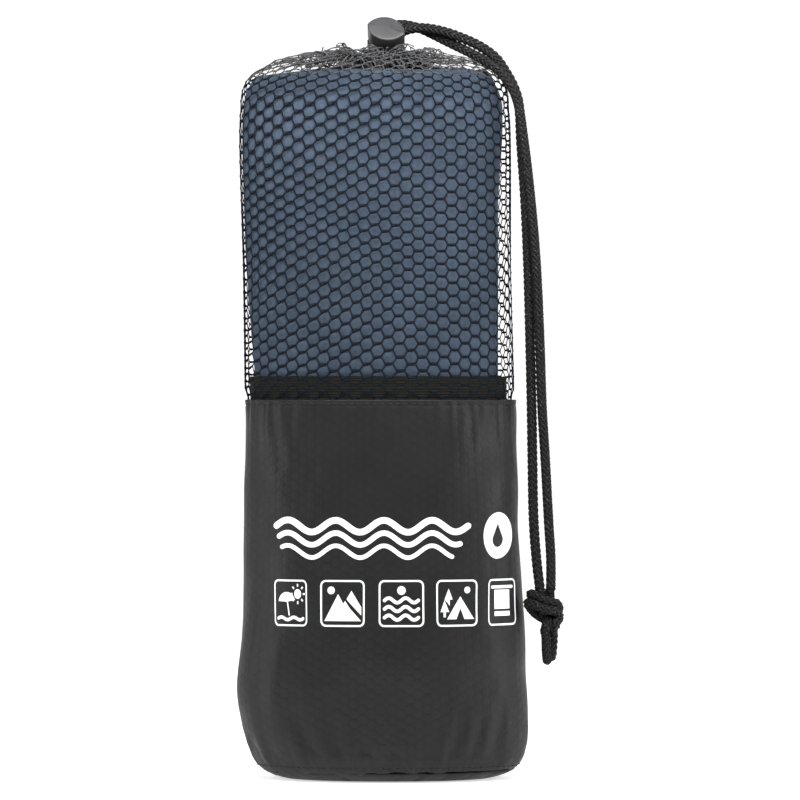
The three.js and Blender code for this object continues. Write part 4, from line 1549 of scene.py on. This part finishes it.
# A long stripe of three waves and a disc with a drop in it.
for level, (height, thick) in enumerate([(2.3, 2.5), (2.3, 2.1), (2.3, 1.7)]):
    x0, x1, z = -41 + 1.2 * level, 33 - 3.0 * level, 99.3 - 4.9 * level
    ink(stroke(wave_line(x0, x1, z, height, 18.5, 0.4 * level, 70), thick))
drop = [(0.0, 3.9)]
for a in np.radians(np.linspace(30, -210, 22)):
    drop.append((2.35 * math.cos(a), -1.1 + 2.35 * math.sin(a)))
ink(disc(44.9, 95.4, 5.9, 9.0, 44), np.array(drop) * [0.95, 1.25] + [44.9, 95.2])

FRAMES = [(-41.9, -29.1), (-24.0, -6.8), (-1.4, 16.2), (20.9, 36.9), (41.1, 52.0)]
FRAME_LOW, FRAME_HIGH, FRAME_LINE = 60.6, 78.6, 0.72


def framed(index):
    """Draws a frame, and gives the way to place a point of a 16 by 16 picture in it."""
    x0, x1 = FRAMES[index]
    squeeze = (x1 - x0) / (FRAME_HIGH - FRAME_LOW)
    line, side = FRAME_LINE, FRAME_LINE * squeeze
    ink(
        round_box(x0, x1, FRAME_LOW, FRAME_HIGH, 2.2, squeeze),
        round_box(x0 + side, x1 - side, FRAME_LOW + line, FRAME_HIGH - line, 1.6, squeeze),
    )

    def place(points):
        p = np.asarray(points, float)
        return np.stack([
            x0 + (x1 - x0) * (p[:, 0] + 1) / 18,
            FRAME_LOW + (FRAME_HIGH - FRAME_LOW) * (p[:, 1] + 1) / 18,
        ], 1)

    return place


place = framed(0)  # a sun over a parasol's half round
ink(place(disc(12, 11.5, 1.9)))
for a in range(8):
    way = np.array([math.cos(a * TAU / 8), math.sin(a * TAU / 8)])
    ink(place(stroke(np.array([12, 11.5]) + way * np.array([[2.8], [3.9]]), 0.7, False)))
turns = np.linspace(0.25, math.pi - 0.1, 16)
arc = [(6 + 4.6 * math.cos(a), 8.2 + 4.0 * math.sin(a)) for a in turns]
ink(place(np.array(arc + [(6, 8.4)])))
ink(place(stroke([(6.2, 9.0), (7.2, 3.4)], 0.7)))
ink(place(stroke(wave_line(1.2, 14.8, 2.0, 0.5, 6.8, 0, 18), 1.3)))

place = framed(1)  # two peaks with a path
ink(place([(0.6, 1.2), (6.2, 11.6), (8.3, 7.9), (9.0, 9.0), (11.0, 6.0), (15.6, 1.2)]))
ink(place([(9.6, 9.6), (11.6, 12.9), (15.6, 6.6), (15.6, 3.4), (11.4, 7.6)]))
ink(place(disc(3.4, 13.0, 1.5)))

place = framed(2)  # waves
for z in (2.6, 5.9, 9.2):
    ink(place(stroke(wave_line(1.3, 14.7, z, 0.9, 6.7, 0, 26), 1.35)))
ink(place(disc(8, 13.0, 1.7)))

place = framed(3)  # a tent between two trees
ink(place([(3.6, 1.8), (9.6, 10.6), (15.6, 1.8), (11.4, 1.8), (9.6, 6.0), (7.8, 1.8)]))
ink(place([(0.8, 4.6), (2.6, 9.2), (4.6, 4.6), (3.1, 4.6), (3.1, 2.6), (2.1, 2.6), (2.1, 4.6)]))
ink(place([(2.6, 9.4), (4.4, 13.6), (6.2, 9.4), (4.9, 9.4), (4.9, 7.0), (3.9, 8.2)]))
ink(place(disc(12.6, 13.0, 1.3)))

place = framed(4)  # a folded towel on a rail
ink(place(stroke([(1.4, 13.9), (14.6, 13.9)], 1.2)))
ink(place([(3.2, 12.8), (12.8, 12.8), (12.8, 5.4), (3.2, 5.4)]))
ink(place([(3.2, 4.5), (12.8, 4.5), (12.8, 2.7), (3.2, 2.7)]))

verts, faces, uv = joined(ink_parts)
new_piece("printed_pictures", verts, faces, INK, uv)

# ------------------------------------------------------------------ floor

floor_material = Nodes("floor_paper", (0.93, 0.93, 0.93), 0.9)
floor_material.set("Emission Color", (1, 1, 1, 1))
floor_material.set("Emission Strength", 0.6)
floor_where = floor_material.coordinates()
floor_material.bump([(floor_material.noise(floor_where, 400, 2), 0.00002)])
profile = [(-2.2, 0.0), (1.2, 0.0)]
for a in np.radians(np.linspace(6, 84, 10)):
    profile.append((1.2 + 0.8 * math.sin(a), 0.8 - 0.8 * math.cos(a)))
profile += [(2.0, 0.8), (2.0, 4.0)]
verts, quads = [], []
for y, z in profile:
    verts += [(-4000, y * 1000, z * 1000), (4000, y * 1000, z * 1000)]
for i in range(len(profile) - 1):
    quads.append((2 * i, 2 * i + 1, 2 * i + 3, 2 * i + 2))
floor_mesh = bpy.data.meshes.new("floor")
floor_mesh.from_pydata([tuple(c * MM for c in v) for v in verts], [], quads)
floor_mesh.materials.append(floor_material.material)
for polygon in floor_mesh.polygons:
    polygon.use_smooth = True
floor = bpy.data.objects.new("floor", floor_mesh)
scene.collection.objects.link(floor)
floor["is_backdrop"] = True

low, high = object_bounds()
